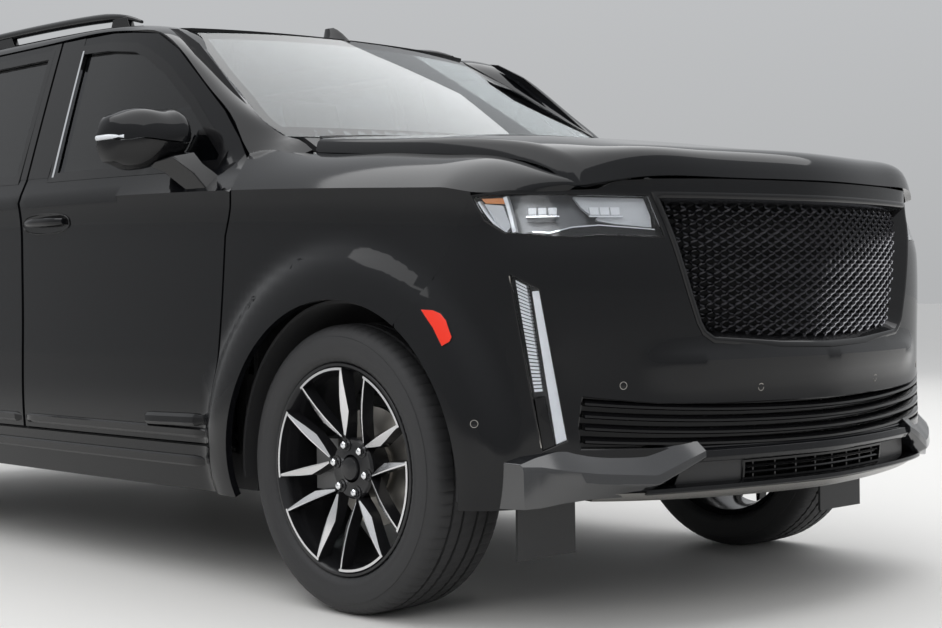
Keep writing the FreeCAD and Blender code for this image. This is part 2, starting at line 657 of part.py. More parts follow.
# Bars under the grille in a recess of the cover, and slats in the lower intake
FIN_DEPTH = 28
FIN_COUNT = 3
FIN_END = FRONT + 772
fin_span = ((FIN_END, FRONT + 1100), (-900, 900))
fins_bottom = s.fin_top_z - FIN_COUNT * s.fin_pitch
fin_room = cuboid(*fin_span, (fins_bottom, s.fin_top_z + s.fin_height))
fin_recess = nose_shell(-5, FIN_DEPTH + 5).common(fin_room)
fin_tops = [s.fin_top_z - i * s.fin_pitch for i in range(FIN_COUNT)]
fin_slabs = Part.makeCompound([cuboid(*fin_span, (top - s.fin_height, top)) for top in fin_tops])
fins = nose_shell(6, FIN_DEPTH).common(fin_slabs)
slat_bars = [cuboid(nose_zone, (-450, 450), (z, z + 5)) for z in INTAKE_SLATS]
slat_bars += [cuboid(nose_zone, (y - 4, y + 4), (386, 450)) for y in INTAKE_POSTS]
slats = nose_shell(34, 14).common(slat_bars[0].fuse(slat_bars[1:]))

# Lower corners that stand out ahead of the wheels: y, then x and z of five corners of a section
# (top at the back, top edge, knee, lower edge, bottom at the back)
WING = [
    (935, (640, 490), (700, 490), (716, 430), (722, 362), (640, 352)),
    (800, (680, 490), (757, 488), (790, 430), (788, 370), (690, 362)),
    (640, (740, 488), (836, 470), (872, 412), (870, 386), (760, 374)),
    (468, (800, 486), (898, 484), (906, 440), (902, 390), (800, 378)),
]
wing = loft([side_outline([F(*corner) for corner in corners], -y) for y, *corners in WING])
LIP_BOTTOM = 372
LIP_TOP = 392
lip_reach = s.nose_reach - s.front_overhang
lip = lower_body(lip_reach, [(LIP_BOTTOM, LIP_BOTTOM, s.rocker_inset + 40, 0, 0, 0),
                             (LIP_TOP, LIP_TOP, s.rocker_inset + 15, 0, 0, 0)])
lip_room = cuboid((FRONT + 640, FRONT + 1100), (-900, 900), (LIP_BOTTOM, LIP_TOP))
lip = lip.cut(open_bottom(0, 110)).common(lip_room)
bumper = bumper.cut(fin_recess)
for piece in (fins, slats, both_sides(wing), lip):
    bumper = bumper.fuse(piece)
nose_cover = largest(bumper)
publish(feature("FrontBumper", nose_cover), "front_bumper")

lens_gap = EPS
lamp = largest(nose_shell(4, 60).common(side_prism(grown(side_outline(LAMP_SIDE), -lens_gap), -1200, -587)))
running_lamp = largest(nose_shell(4, 50).common(
    side_prism(grown(side_outline(RUNNING_LAMP_SIDE), -lens_gap), -1200, -780)))
publish(feature("Headlamps", both_sides(lamp)), "headlamps")
publish(feature("RunningLamps", both_sides(running_lamp)), "running_lamps")


def clipped(points, outline):
    """The part of a convex polygon that lies inside another, both as (y, z) corners."""
    middle = [sum(corner[k] for corner in outline) / len(outline) for k in (0, 1)]
    for (y1, z1), (y2, z2) in zip(outline, outline[1:] + outline[:1]):
        def side(point):
            turn = (y2 - y1) * (point[1] - z1) - (z2 - z1) * (point[0] - y1)
            return turn if inner > 0 else -turn
        inner = 1
        inner = side(middle)
        kept = []
        for start, end in zip(points, points[1:] + points[:1]):
            here, there = side(start), side(end)
            if here >= 0:
                kept.append(start)
            if here * there < 0:
                share = here / (here - there)
                kept.append(tuple(start[k] + (end[k] - start[k]) * share for k in (0, 1)))
        points = kept
        if len(points) < 3:
            return []
    return points


def area(points):
    return abs(sum(a[0] * b[1] - b[0] * a[1] for a, b in zip(points, points[1:] + points[:1]))) / 2


def diamonds(outline):
    """Holes of the mesh inside the outline, as (y, z) corners."""
    wide, high = s.diamond_width / 2, s.diamond_height / 2
    shrink = 1 - s.mesh_wire / 2 * math.hypot(wide, high) / (wide * high)
    columns = math.ceil(s.grille_half_top / wide)
    rows = math.ceil((s.grille_top_z - s.grille_chin_z) / high)
    holes = []
    for column in range(-columns, columns + 1):
        for row in range(rows + 1):
            if (column + row) % 2 == 0:
                y, z = column * wide, s.grille_top_z - row * high
                half, rise = wide * shrink, high * shrink
                corners = [(y + half, z), (y, z + rise), (y - half, z), (y, z - rise)]
                hole = clipped(corners, outline)
                if hole and area(hole) > wide * high / 4:
                    holes.append(hole)
    return holes


MESH_DEPTH = 16      # from the nose's face to the front of the mesh
MESH_THICKNESS = 12


def grille_solids():
    """Frame and the mesh that snaps into it, both bowed like the nose."""
    outline = front_outline(GRILLE)
    inner_edge = lens_gap + s.grille_frame
    inside = front_prism(grown(outline, -inner_edge), *nose_zone)
    ring = front_prism(grown(outline, -lens_gap), *nose_zone).cut(inside)
    mesh_edge = grown(outline, -inner_edge - EPS)
    hole_limit = grown(outline, -inner_edge - EPS - s.mesh_wire)
    holes = diamonds([(vertex.Y, vertex.Z) for vertex in hole_limit.OrderedVertexes])
    face = Part.makeFace([mesh_edge] + [front_outline(hole) for hole in holes], "Part::FaceMakerBullseye")
    face.translate(Vector(nose_zone[0], 0, 0))
    mesh = face.extrude(Vector(nose_zone[1] - nose_zone[0], 0, 0))
    centre = Vector(NOSE - NOSE_ARC, 0, s.grille_chin_z)
    tall = s.grille_top_z - s.grille_chin_z
    front, back = [Part.makeCylinder(NOSE_ARC - depth, tall, centre)
                   for depth in (MESH_DEPTH, MESH_DEPTH + MESH_THICKNESS)]
    return [largest(nose_shell(6, 40).common(ring)), largest(mesh.common(front.cut(back)))]


publish(feature("Grille", Part.makeCompound(grille_solids())), "grille")

# Rear bumper
BUMPER_BACK_TOP = QUARTER_BOTTOM - EPS
back = nose_shell(0, s.bumper_thickness)
back = back.common(cuboid((TAIL - 50, REAR - s.arch_radius + 60), (-1200, 1200), (330, BUMPER_BACK_TOP)))
hitch_way = cuboid((TAIL - 50, TAIL + 200), (-60, 60), (s.rail_bottom - 5, s.rail_bottom + s.receiver + 25))
back = back.cut(gate_hole).cut(both_sides(arch(REAR, s.arch_radius))).cut(hitch_way)
publish(feature("RearBumper", largest(back)), "rear_bumper")

# Roof rails with their feet, one on each side
RAIL_LINE = [(FRONT - 1360, 1862), (FRONT - 1450, 1900), (FRONT - 1700, s.rail_z - 18),
             (FRONT - 2300, s.rail_z), (REAR - 300, s.rail_z - 6), (REAR - 900, s.rail_z - 40),
             (REAR - 1130, 1868)]
rail_under = [(x, z - 24) for x, z in RAIL_LINE[1:-1]]
rail = side_prism(side_outline(RAIL_LINE + list(reversed(rail_under))), -762, -722)
rail_feet = [cuboid((x - 60, x + 60), (-758, -726), (1840, z - 10)) for x, z in
             ((FRONT - 1480, 1890), (FRONT - 2330, s.rail_z), (REAR - 850, s.rail_z - 40))]
rail = rail.fuse(rail_feet).cut(outer_skin)
publish(feature("RoofRails", both_sides(largest(rail))), "roof_rails")
FIN_BASE = s.roof_z - 68
fin = side_prism(side_outline([F(-1150, FIN_BASE - 20), F(-1190, FIN_BASE + 20), F(-1235, s.roof_z - 10),
                               F(-1275, s.roof_z - 12), F(-1290, FIN_BASE - 20)]), -12, 12)
publish(feature("RoofFin", largest(fin.cut(outer_skin))), "roof_fin")


# Door mirrors, on the front doors
def mirror_shape():
    housing = loft([front_outline([(-962, 1345), (-962, 1495), (-1080, 1508), (-1150, 1500), (-1180, 1455),
                                   (-1168, 1350), (-1100, 1318)], FRONT - 780 - step)
                    .scaled(1 - shrink, Vector(FRONT - 780 - step, -1060, 1412))
                    for step, shrink in ((0, 0.45), (40, 0.12), (90, 0.0), (165, 0.02))])
    arm = loft([front_outline([(-950, 1290), (-950, 1345), (-1060, 1345), (-1060, 1322)], FRONT - 690),
                front_outline([(-950, 1290), (-950, 1345), (-1060, 1350), (-1060, 1320)], FRONT - 900)])
    return housing.fuse(arm).cut(outer_skin)


mirror = largest(mirror_shape())
publish(feature("MirrorRight", mirror), "mirror_right")
publish(feature("MirrorLeft", flipped(mirror)), "mirror_left")

# Rubber seals that the doors and the liftgate close on, and the stops under the hood
seal_layer = cabin(s.seal_gap).cut(cabin(s.seal_thickness)).cut(cap(s.pillar_thickness + s.seal_thickness))


def seal_ring(outline, prism, span):
    outside = prism(grown(outline, half_gap + s.seal_lap / 2), *span)
    return seal_layer.common(outside.cut(prism(grown(outline, -s.seal_lap), *span)))


door_seals = [seal_ring(side_outline(outline), side_prism, RIGHT) for outline in (FRONT_DOOR, REAR_DOOR)]
gate_seal = largest(seal_ring(gate_outline, front_prism, gate_wall_x))
door_seals[0] = largest(door_seals[0].cut(fender))
door_seals[1] = largest(door_seals[1].cut(door_seals[0]))
all_door_seals = both_sides(Part.makeCompound(door_seals))
publish(feature("Seals", Part.makeCompound(all_door_seals.Solids + [gate_seal])), "seals")

# Radiator support across the nose, with the rubber stops that carry the hood
SUPPORT_X = (FRONT + 640, FRONT + 700)
STOP_Y = 480
support = cuboid(SUPPORT_X, (-540, 540), (1060, 1130))
posts = [cuboid(SUPPORT_X, (y - 40, y + 40), (s.rail_bottom + s.rail_height, 1130)) for y in (-425, 425)]
stops = [cuboid((SUPPORT_X[0], SUPPORT_X[1] - 20), (y - 25, y + 25), (1100, 1500)) for y in (-STOP_Y, STOP_Y)]
support = support.fuse(posts + stops).cut(hood.translated(Vector(0, 0, -s.seal_gap)))
publish(feature("RadiatorSupport", largest(support)), "radiator_support")

# Ladder frame: two rails with the suspension's brackets, crossmembers, and the tow hitch with its receiver
RAIL_TOP = "(Sizes.rail_bottom + Sizes.rail_height)"
RAIL_OUTER = "(Sizes.rail_inner + Sizes.rail_width)"
AXLE = "Sizes.tyre_radius"
frame_rail = block("FrameRail",
                   (f"{REAR_X} - Sizes.rear_overhang + 120", f"{FRONT_X} + Sizes.nose_reach - 180"),
                   (f"-{RAIL_OUTER}", "-Sizes.rail_inner"), ("Sizes.rail_bottom", RAIL_TOP))
BETWEEN = ("-Sizes.rail_inner", "Sizes.rail_inner", "Sizes.rail_bottom + 10", "Sizes.rail_bottom + 90")
ABOVE = (f"-{RAIL_OUTER}", RAIL_OUTER, RAIL_TOP, "Sizes.floor_z")
BELOW = (f"-{RAIL_OUTER}", RAIL_OUTER, "Sizes.rail_bottom - 50", "Sizes.rail_bottom")
# Crossmembers: name, axle, distance from it, how they lie
CROSSMEMBERS = [("front", FRONT_X, 690, BETWEEN), ("engine_front", FRONT_X, 400, BETWEEN),
                ("engine_rear", FRONT_X, -60, BETWEEN), ("gearbox", FRONT_X, -1200, BELOW),
                ("cabin_front", FRONT_X, -640, ABOVE), ("cabin_middle", FRONT_X, -1700, ABOVE),
                ("cabin_rear", REAR_X, 700, ABOVE), ("axle", REAR_X, -65, ABOVE),
                ("silencer", REAR_X, -860, ABOVE), ("hitch", REAR_X, -1180, BETWEEN)]
members = [block(f"Crossmember_{name}", (f"{axle} + ({x})", f"{axle} + ({x}) + Sizes.crossmember"),
                 (y_low, y_high), (z_low, z_high))
           for name, axle, x, (y_low, y_high, z_low, z_high) in CROSSMEMBERS]
publish(group("Crossmembers", members[:-1]), "crossmembers")
brackets = []
REAR_STRUT = 80      # from the rear axle forward to its struts, which leave room for the half shafts
for name, axle, strut, top in (("Front", FRONT_X, 0, "Sizes.rail_bottom + 330"),
                               ("Rear", REAR_X, REAR_STRUT, RAIL_TOP)):
    foot = block(f"{name}ArmBracket", (f"{axle} - 130", f"{axle} + 130"),
                 (f"-{RAIL_OUTER}", f"-{RAIL_OUTER} + 60"), (f"{AXLE} - 130", "Sizes.rail_bottom"))
    along = (f"{axle} + {strut} - 60", f"{axle} + {strut} + 60")
    seat = block(f"{name}SpringSeat", along, (f"-{RAIL_OUTER} - 120", f"-{RAIL_OUTER} + 40"),
                 (f"{top} - 20", f"{top} + 10"))
    post = block(f"{name}SpringPost", along, (f"-{RAIL_OUTER}", f"-{RAIL_OUTER} + 40"),
                 (f"{RAIL_TOP} - 40", f"{top} + 10"))
    for item in (foot, seat, post):
        brackets += [item, mirrored(f"{item.Name}Left", item)]
# Jacking pads under the rails: name, axle, distance from it
for name, axle, x in (("FrontJackPad", FRONT_X, -750), ("RearJackPad", REAR_X, 620)):
    pad = block(name, (f"{axle} + ({x}) - 60", f"{axle} + ({x}) + 60"),
                (f"-{RAIL_OUTER} + 5", "-Sizes.rail_inner - 5"), ("Sizes.rail_bottom - 12", "Sizes.rail_bottom"))
    brackets += [pad, mirrored(f"{name}Left", pad)]
receiver_wall = "(Sizes.receiver - Sizes.receiver_bore) / 2"
receiver_tube = block("ReceiverTube", (f"{REAR_X} - Sizes.rear_overhang + 30", f"{REAR_X} - 1179"),
                      ("-Sizes.receiver / 2", "Sizes.receiver / 2"),
                      ("Sizes.rail_bottom + 10", "Sizes.rail_bottom + 10 + Sizes.receiver"))
receiver_hole = block("ReceiverHole", (f"{REAR_X} - Sizes.rear_overhang", f"{REAR_X} - 1179"),
                      ("-Sizes.receiver_bore / 2", "Sizes.receiver_bore / 2"),
                      (f"Sizes.rail_bottom + 10 + {receiver_wall}",
                       f"Sizes.rail_bottom + 10 + {receiver_wall} + Sizes.receiver_bore"))
pin_hole = rod("HitchPinHole", "y", (f"{REAR_X} - Sizes.rear_overhang + 95", "-Sizes.receiver",
                                    "Sizes.rail_bottom + 10 + Sizes.receiver / 2"),
               "2 * Sizes.receiver", "Sizes.hitch_pin")
shaft_way = rod("ShaftWay", "y", (REAR_X, "-Sizes.king_pin", AXLE), "2 * Sizes.king_pin", "40")
rails = joined("RailsSolid", [frame_rail, mirrored("FrameRailLeft", frame_rail)] + brackets)
publish(cut_from("FrameRails", rails, shaft_way), "frame_rails")
hitch = joined("HitchSolid", [members[-1], receiver_tube])
publish(cut_from("TowHitch", hitch, group("HitchHoles", [receiver_hole, pin_hole])), "tow_hitch")

# Engine as one block, gearbox with the shaft to the rear differential, exhaust and tank
ENGINE_BACK = 215
engine = block("Engine", (f"{FRONT_X} - {ENGINE_BACK}", f"{FRONT_X} + 520"), ("-300", "300"),
               ("Sizes.rail_bottom + 90", "Sizes.rail_bottom + 700"))
publish(engine, "engine_block")
driveline_parts = [
    block("Gearbox", (f"{FRONT_X} - 1240", f"{FRONT_X} - {ENGINE_BACK}"), ("-120", "120"),
          ("Sizes.rail_bottom", f"{RAIL_TOP} - 5")),
    rod("PropShaft", "x", (f"{REAR_X} + 120", "0", f"{AXLE} + 56"), "Sizes.wheelbase - 1358", "45"),
    rod("DiffCase", "y", (REAR_X, "-110", AXLE), "220", "155"),
    block("DiffMount", (f"{REAR_X} - 40", f"{REAR_X} + 40"), ("-60", "60"), (f"{AXLE} + 100", RAIL_TOP)),
    rod("HalfShafts", "y", (REAR_X, "-Sizes.king_pin + 45 + Sizes.running_gap", AXLE),
        "2 * (Sizes.king_pin - 45 - Sizes.running_gap)", "24"),
]
publish(joined("Driveline", driveline_parts), "driveline")
exhaust_parts = [
    rod("Silencer", "x", (f"{REAR_X} - 1060", "-230", f"{AXLE} + 56"), "420", "95"),
    rod("TailPipe", "x", (f"{REAR_X} - 1250", "-230", f"{AXLE} - 4"), "200", "32"),
    rod("ExhaustPipe", "x", (f"{REAR_X} - 650", "-290", f"{AXLE} + 56"), "Sizes.wheelbase - 565", "28"),
    block("ExhaustHanger", (f"{REAR_X} - 850", f"{REAR_X} - 800"), ("-250", "-210"),
          (f"{AXLE} + 140", RAIL_TOP)),
]
publish(joined("Exhaust", exhaust_parts), "exhaust")
tank = block("FuelTank", (f"{REAR_X} + 790", f"{REAR_X} + 1750"), ("80", "Sizes.rail_inner - 10"),
             ("Sizes.rail_bottom - 20", RAIL_TOP))
publish(tank, "fuel_tank")

# Suspension: lower and upper arms with a strut between arm and frame
LOWER_BALL = f"({AXLE} - 95)"
UPPER_BALL = f"({AXLE} + 120)"
STRUT_Y = f"-{RAIL_OUTER} - 70"


def corner_arms(name, axle, strut, strut_top):
    """Right-hand arms of one axle, with the strut a distance ahead of the axle."""
    lower = block(f"{name}LowerArm", (f"{axle} - 45", f"{axle} + 45"), ("-Sizes.king_pin", f"-{RAIL_OUTER}"),
                  (f"{LOWER_BALL} - 24", LOWER_BALL))
    foot = block(f"{name}LowerArmFoot", (f"{axle} - 120", f"{axle} + 120"),
                 (f"-{RAIL_OUTER} - 60", f"-{RAIL_OUTER}"), (f"{LOWER_BALL} - 24", LOWER_BALL))
    upper = block(f"{name}UpperArm", (f"{axle} - 30", f"{axle} + 30"),
                  ("-Sizes.king_pin", f"-{RAIL_OUTER} - 120"), (UPPER_BALL, f"{UPPER_BALL} + 20"))
    damper = rod(f"{name}Strut", "z", (f"{axle} + {strut}", STRUT_Y, f"{LOWER_BALL} - 5"),
                 f"{strut_top} - {LOWER_BALL} + 5", "38")
    upper_root = block(f"{name}UpperArmRoot", (f"{axle} - 90", f"{axle} + 90"),
                       (f"-{RAIL_OUTER} - 130", f"-{RAIL_OUTER}"), (UPPER_BALL, f"{UPPER_BALL} + 20"))
    opening = block(f"{name}StrutWay", (f"{axle} + {strut} - 45", f"{axle} + {strut} + 45"),
                    (f"{STRUT_Y} - 45", f"{STRUT_Y} + 45"),
                    (f"{UPPER_BALL} - 5", f"{UPPER_BALL} + 25"))
    upper_arm = cut_from(f"{name}UpperWishbone", joined(f"{name}UpperBars", [upper, upper_root]), opening)
    return joined(f"{name}LowerWishbone", [lower, foot, damper]), upper_arm


def knuckle_solid(name, axle):
    """Right-hand upright with its spindle and brake caliper."""
    post = block(f"{name}Post", (f"{axle} - 40", f"{axle} + 40"),
                 ("-Sizes.king_pin - 25", "-Sizes.king_pin + 45"),
                 (f"{LOWER_BALL} + Sizes.running_gap", f"{UPPER_BALL} - Sizes.running_gap"))
    spindle = rod(f"{name}Spindle", "y", (axle, "-Sizes.rim_face + 96", AXLE), "100", "Sizes.spindle_radius")
    arm = block(f"{name}CaliperArm", (f"{axle} - 150", axle), ("-Sizes.king_pin - 25", "-Sizes.king_pin + 5"),
                (f"{AXLE} - 35", f"{AXLE} + 35"))
    caliper = block(f"{name}Caliper", (f"{axle} - 212", f"{axle} - 110"),
                    ("-Sizes.rim_face + 84", "-Sizes.king_pin - 10"), (f"{AXLE} - 75", f"{AXLE} + 75"))
    slot = rod(f"{name}DiscSlot", "y", (axle, "-Sizes.rim_face + 107", AXLE), "Sizes.disc_thickness + 8",
               "Sizes.disc_radius + 5")
    return joined(name, [post, spindle, arm, cut_from(f"{name}CaliperBody", caliper, slot)])


front_arms = corner_arms("Front", FRONT_X, 0, "(Sizes.rail_bottom + 310)")
rear_arms = corner_arms("Rear", REAR_X, REAR_STRUT, f"({RAIL_TOP} - 20)")
front_set = list(front_arms) + [mirrored(f"{item.Name}Left", item) for item in front_arms]
rear_knuckle = knuckle_solid("RearKnuckle", REAR_X)
rear_corner = list(rear_arms) + [rear_knuckle]
rear_set = rear_corner + [mirrored(f"{item.Name}Left", item) for item in rear_corner]
publish(group("Suspension", front_set + rear_set), "suspension")
front_knuckle = knuckle_solid("FrontKnuckle", FRONT_X)
publish(front_knuckle, "knuckle_front_right")
publish(mirrored("FrontKnuckleLeft", front_knuckle), "knuckle_front_left")

# Wheels: a turned tyre and rim, spokes in pairs, brake disc behind the hub
def turned_body(name, profile):
    """Body of revolution; the profile's corners are formulas: distance from the car's middle, radius."""
    body = doc.addObject("PartDesign::Body", name)
    plane = next(item for item in body.Origin.OriginFeatures if item.Role == "XY_Plane")
    sketch = body.newObject("Sketcher::SketchObject", f"{name}Profile")
    sketch.AttachmentSupport = [(plane, "")]
    sketch.MapMode = "FlatFace"
    count = len(profile)
    corners = [Vector(*[evaluated(formula) for formula in corner], 0) for corner in profile]
    for i, corner in enumerate(corners):
        sketch.addGeometry(Part.LineSegment(corner, corners[(i + 1) % count]), False)
    for i in range(count):
        sketch.addConstraint(Sketcher.Constraint("Coincident", i, 2, (i + 1) % count, 1))
    for i, (across, radius) in enumerate(profile):
        for kind, formula, value in (("DistanceX", across, corners[i].x),
                                     ("DistanceY", radius, corners[i].y)):
            index = sketch.addConstraint(Sketcher.Constraint(kind, -1, 1, i, 1, value))
            sketch.setExpression(f"Constraints[{index}]", formula)
    turn = body.newObject("PartDesign::Revolution", f"{name}Turn")
    turn.Profile = sketch
    turn.ReferenceAxis = (sketch, ["H_Axis"])
    turn.Angle = 360
    body.Tip = turn
    return body


def evaluated(formula):
    """Value of a formula over the sheet, for a sketch's first drawing."""
    probe = sheet.evalExpression(formula)
    return float(probe.Value if hasattr(probe, "Value") else probe)


MIDDLE = "(Sizes.rim_face - 128)"
HALF_TYRE = "Sizes.tyre_width / 2"
BEAD = "Sizes.rim_radius + Sizes.running_gap"
BEAD_EDGE = "118 - Sizes.running_gap"
TYRE_PROFILE = [
    (f"{MIDDLE} + {BEAD_EDGE}", BEAD),
    (f"{MIDDLE} + {BEAD_EDGE}", "Sizes.rim_lip_radius + Sizes.running_gap"),
    (f"{MIDDLE} + {HALF_TYRE} - 8", "Sizes.rim_lip_radius + 12"),
    (f"{MIDDLE} + {HALF_TYRE}", "Sizes.rim_lip_radius + 48"),
    (f"{MIDDLE} + {HALF_TYRE} - 12", "Sizes.tyre_radius - 22"),
    (f"{MIDDLE} + {HALF_TYRE} - 42", "Sizes.tyre_radius"),
    (f"{MIDDLE} - {HALF_TYRE} + 42", "Sizes.tyre_radius"),
    (f"{MIDDLE} - {HALF_TYRE} + 12", "Sizes.tyre_radius - 22"),
    (f"{MIDDLE} - {HALF_TYRE}", "Sizes.rim_lip_radius + 48"),
    (f"{MIDDLE} - {HALF_TYRE} + 8", "Sizes.rim_lip_radius + 12"),
    (f"{MIDDLE} - ({BEAD_EDGE})", "Sizes.rim_lip_radius + Sizes.running_gap"),
    (f"{MIDDLE} - ({BEAD_EDGE})", BEAD),
]
BARREL_PROFILE = [
    (f"{MIDDLE} + 118", "Sizes.rim_radius"),
    (f"{MIDDLE} + 118", "Sizes.rim_lip_radius"),
    ("Sizes.rim_face", "Sizes.rim_lip_radius"),
    ("Sizes.rim_face", "Sizes.rim_lip_radius - 14"),
    (f"{MIDDLE} + 90", "Sizes.rim_radius - 26"),
    (f"{MIDDLE} - 118", "Sizes.rim_radius - 14"),
    (f"{MIDDLE} - 128", "Sizes.rim_lip_radius"),
    (f"{MIDDLE} - 118", "Sizes.rim_lip_radius"),
    (f"{MIDDLE} - 118", "Sizes.rim_radius"),
]
SPOKE_PAIRS = 6
FIRST_PAIR = -18     # degrees from straight up to the middle of a pair of spokes
HUB_SPREAD = 10      # degrees between a spoke and the middle of its pair, at the hub
RIM_SPREAD = 18
ARC_SPREAD = 22      # half of the arc that joins a pair along the rim
ARC_WIDTH = 20
ARC_INSET = 2        # the arc's outer edge inside the tyre's bead seat


def spoke_section(angle, radius, half, face, depth):
    """Rectangle across a spoke, at an angle about the axle; x here runs outwards along the axle."""
    along = Vector(0, math.sin(math.radians(angle)), math.cos(math.radians(angle)))
    across = Vector(0, math.cos(math.radians(angle)), -math.sin(math.radians(angle)))
    centre = along * radius
    return wire([centre + across * side + Vector(out, 0, 0)
                 for side, out in ((-half, face), (half, face), (half, face - depth), (-half, face - depth))])


def rim_arc(middle):
    """Web that joins a pair of spokes along the rim."""
    low, high = s.rim_face - 36, s.rim_face - 2
    far = 2 * s.rim_lip_radius
    angles = [math.radians(middle + side * ARC_SPREAD) for side in (-1, 1)]
    ends = [Vector(low, far * math.sin(a), far * math.cos(a)) for a in angles]
    sector = Part.Face(wire([Vector(low, 0, 0)] + ends)).extrude(Vector(high - low, 0, 0))
    outer, inner = [Part.makeCylinder(radius, high - low, Vector(low, 0, 0), Vector(1, 0, 0))
                    for radius in (s.rim_radius - ARC_INSET, s.rim_radius - ARC_INSET - ARC_WIDTH)]
    return outer.cut(inner).common(sector)


def spokes():
    """Pairs of spokes around the x axis, dished towards the hub, each pair joined by an arc at the rim."""
    pieces = []
    for i in range(SPOKE_PAIRS):
        middle = FIRST_PAIR + 360 / SPOKE_PAIRS * i
        pieces.append(rim_arc(middle))
        for side in (-1, 1):
            inner = spoke_section(middle + side * HUB_SPREAD, s.hub_radius - 22, 15, s.rim_face - 42, 34)
            outer = spoke_section(middle + side * RIM_SPREAD, s.rim_lip_radius - 17, 13, s.rim_face - 6, 34)
            pieces.append(loft([inner, outer]))
    return pieces[0].fuse(pieces[1:])


def nuts():
    """Six wheel nuts on their circle around the x axis."""
    circle = s.nut_circle / 2
    angles = [math.radians(60 * i + 30) for i in range(6)]
    feet = [Vector(s.rim_face - 62, circle * math.sin(a), circle * math.cos(a)) for a in angles]
    return Part.makeCompound([Part.makeCylinder(s.nut_radius, 22, foot, Vector(1, 0, 0)) for foot in feet])


def wheel(place, axle, side):
    """Tyre and rim around the x axis, turned outwards to their side of the car."""
    name = f"{place.title().replace('_', '')}"
    tyre = turned_body(f"Tyre{name}", TYRE_PROFILE)
    barrel = turned_body(f"Barrel{name}", BARREL_PROFILE)
    hub = rod(f"Hub{name}", "x", ("Sizes.rim_face - 91", "0", "0"), "45", "Sizes.hub_radius")
    hat = rod(f"Hat{name}", "x", ("Sizes.rim_face - 140", "0", "0"), "60", "Sizes.hub_radius - 12")
    disc = rod(f"Disc{name}", "x", ("Sizes.rim_face - 141", "0", "0"), "Sizes.disc_thickness",
               "Sizes.disc_radius")
    bore = rod(f"Bore{name}", "x", ("Sizes.rim_face - 142", "0", "0"), "50",
               "Sizes.spindle_radius + Sizes.running_gap")
    face = feature(f"Spokes{name}", spokes())
    nut_set = feature(f"Nuts{name}", nuts())
    rim = cut_from(f"Rim{name}", joined(f"RimSolid{name}", [barrel, hub, hat, disc, face, nut_set]), bore)
    for item in (tyre, rim):
        item.Placement = FreeCAD.Placement(Vector(), Rotation(Vector(0, 0, 1), 90 * side))
        item.setExpression("Placement.Base.x", axle)
        item.setExpression("Placement.Base.z", AXLE)
    publish(tyre, f"tyre_{place}")
    publish(rim, f"rim_{place}")


for place, axle, side in (("front_right", FRONT_X, -1), ("front_left", FRONT_X, 1),
                          ("rear_right", REAR_X, -1), ("rear_left", REAR_X, 1)):
    wheel(place, axle, side)

# Arch liners: part of a tube over each wheel; the rear ones have an inner wall
LINER_BOTTOM = s.sill_z + 60
LINER_WALL_BOTTOM = 590


def liner(axle_x, inner_y, wall):
    outside = arch(axle_x, s.arch_radius - EPS, -s.half_width + 50, -inner_y)
    hollow_end = inner_y + (s.liner_thickness if wall else -1)
    space = arch(axle_x, s.arch_radius - EPS - s.liner_thickness, -FAR, -hollow_end)
    tube = outside.cut(space).cut(cuboid((axle_x - FAR, axle_x + FAR), (-FAR, 0), (-FAR, LINER_BOTTOM)))
    if wall:
        tube = tube.cut(cuboid((axle_x - FAR, axle_x + FAR), (-inner_y - s.liner_thickness, 0),
                               (-FAR, LINER_WALL_BOTTOM)))
    return largest(tube)


liners = Part.makeCompound([liner(FRONT, s.liner_inner, False), liner(REAR, s.wheel_house, True)])
publish(feature("ArchLiners", both_sides(liners)), "arch_liners")

# Floor with its inner sills, firewall, seat riser and load floor
floor_room = cabin(EPS)
RISER = REAR + 420
sill_half = s.half_width - s.sill_inset - s.door_thickness - EPS
floor_top = s.floor_z + s.floor_thickness
load_top = s.load_floor_z + s.floor_thickness
floor_parts = [
    cuboid((FRONT - 520, RISER), (-sill_half, sill_half), (s.floor_z, floor_top)),
    cuboid((RISER - s.floor_thickness, RISER), (-sill_half, sill_half), (s.floor_z, load_top)),
    cuboid((TAIL + 100, RISER), (-1000, 1000), (s.load_floor_z, load_top)),
]
for side in (-1, 1):
    y = sorted((side * (sill_half - 80), side * sill_half))
    floor_parts.append(cuboid((FRONT - 520, REAR + s.arch_radius + 20), y, (s.sill_z + 5, floor_top)))
firewall = cuboid((FRONT - 520, FRONT - 500), (-1000, 1000), (s.floor_z, 1400))
floor = floor_parts[0].fuse(floor_parts[1:] + [firewall]).common(floor_room)
rear_houses = both_sides(arch(REAR, s.arch_radius, -FAR, -s.wheel_house))
for tool in (rear_houses, all_door_seals, gate_seal, both_sides(fender)):
    floor = floor.cut(tool)
publish(feature("FloorPan", largest(floor)), "floor_pan")

# Dashboard and steering wheel
DASH = [F(-520, 930), F(-520, 1345), F(-760, 1352), F(-930, 1300), F(-965, 1190), F(-860, 1090), F(-820, 930)]
DASH_HALF = 855
dash = side_prism(side_outline(DASH), -DASH_HALF, DASH_HALF).common(floor_room)
for tool in (all_door_seals, both_sides(fender)):
    dash = dash.cut(tool)
console = cuboid((FRONT - 1600, FRONT - 830), (-105, 105), (floor_top, 940))
publish(feature("Dashboard", largest(dash.fuse(console))), "dashboard")
ring = doc.addObject("Part::Torus", "SteeringRing")
ring.setExpression("Radius1", "Sizes.wheel_ring")
ring.setExpression("Radius2", "Sizes.wheel_grip")
wheel_hub = rod("SteeringHub", "z", ("0", "0", "-30"), "40", "62")
column = rod("SteeringColumn", "z", ("0", "0", "-340"), "330", "28")
cross_bar = block("SteeringBar", ("-14", "14"), ("-Sizes.wheel_ring", "Sizes.wheel_ring"), ("-9", "9"))
down_bar = block("SteeringDownBar", ("-Sizes.wheel_ring", "0"), ("-14", "14"), ("-9", "9"))
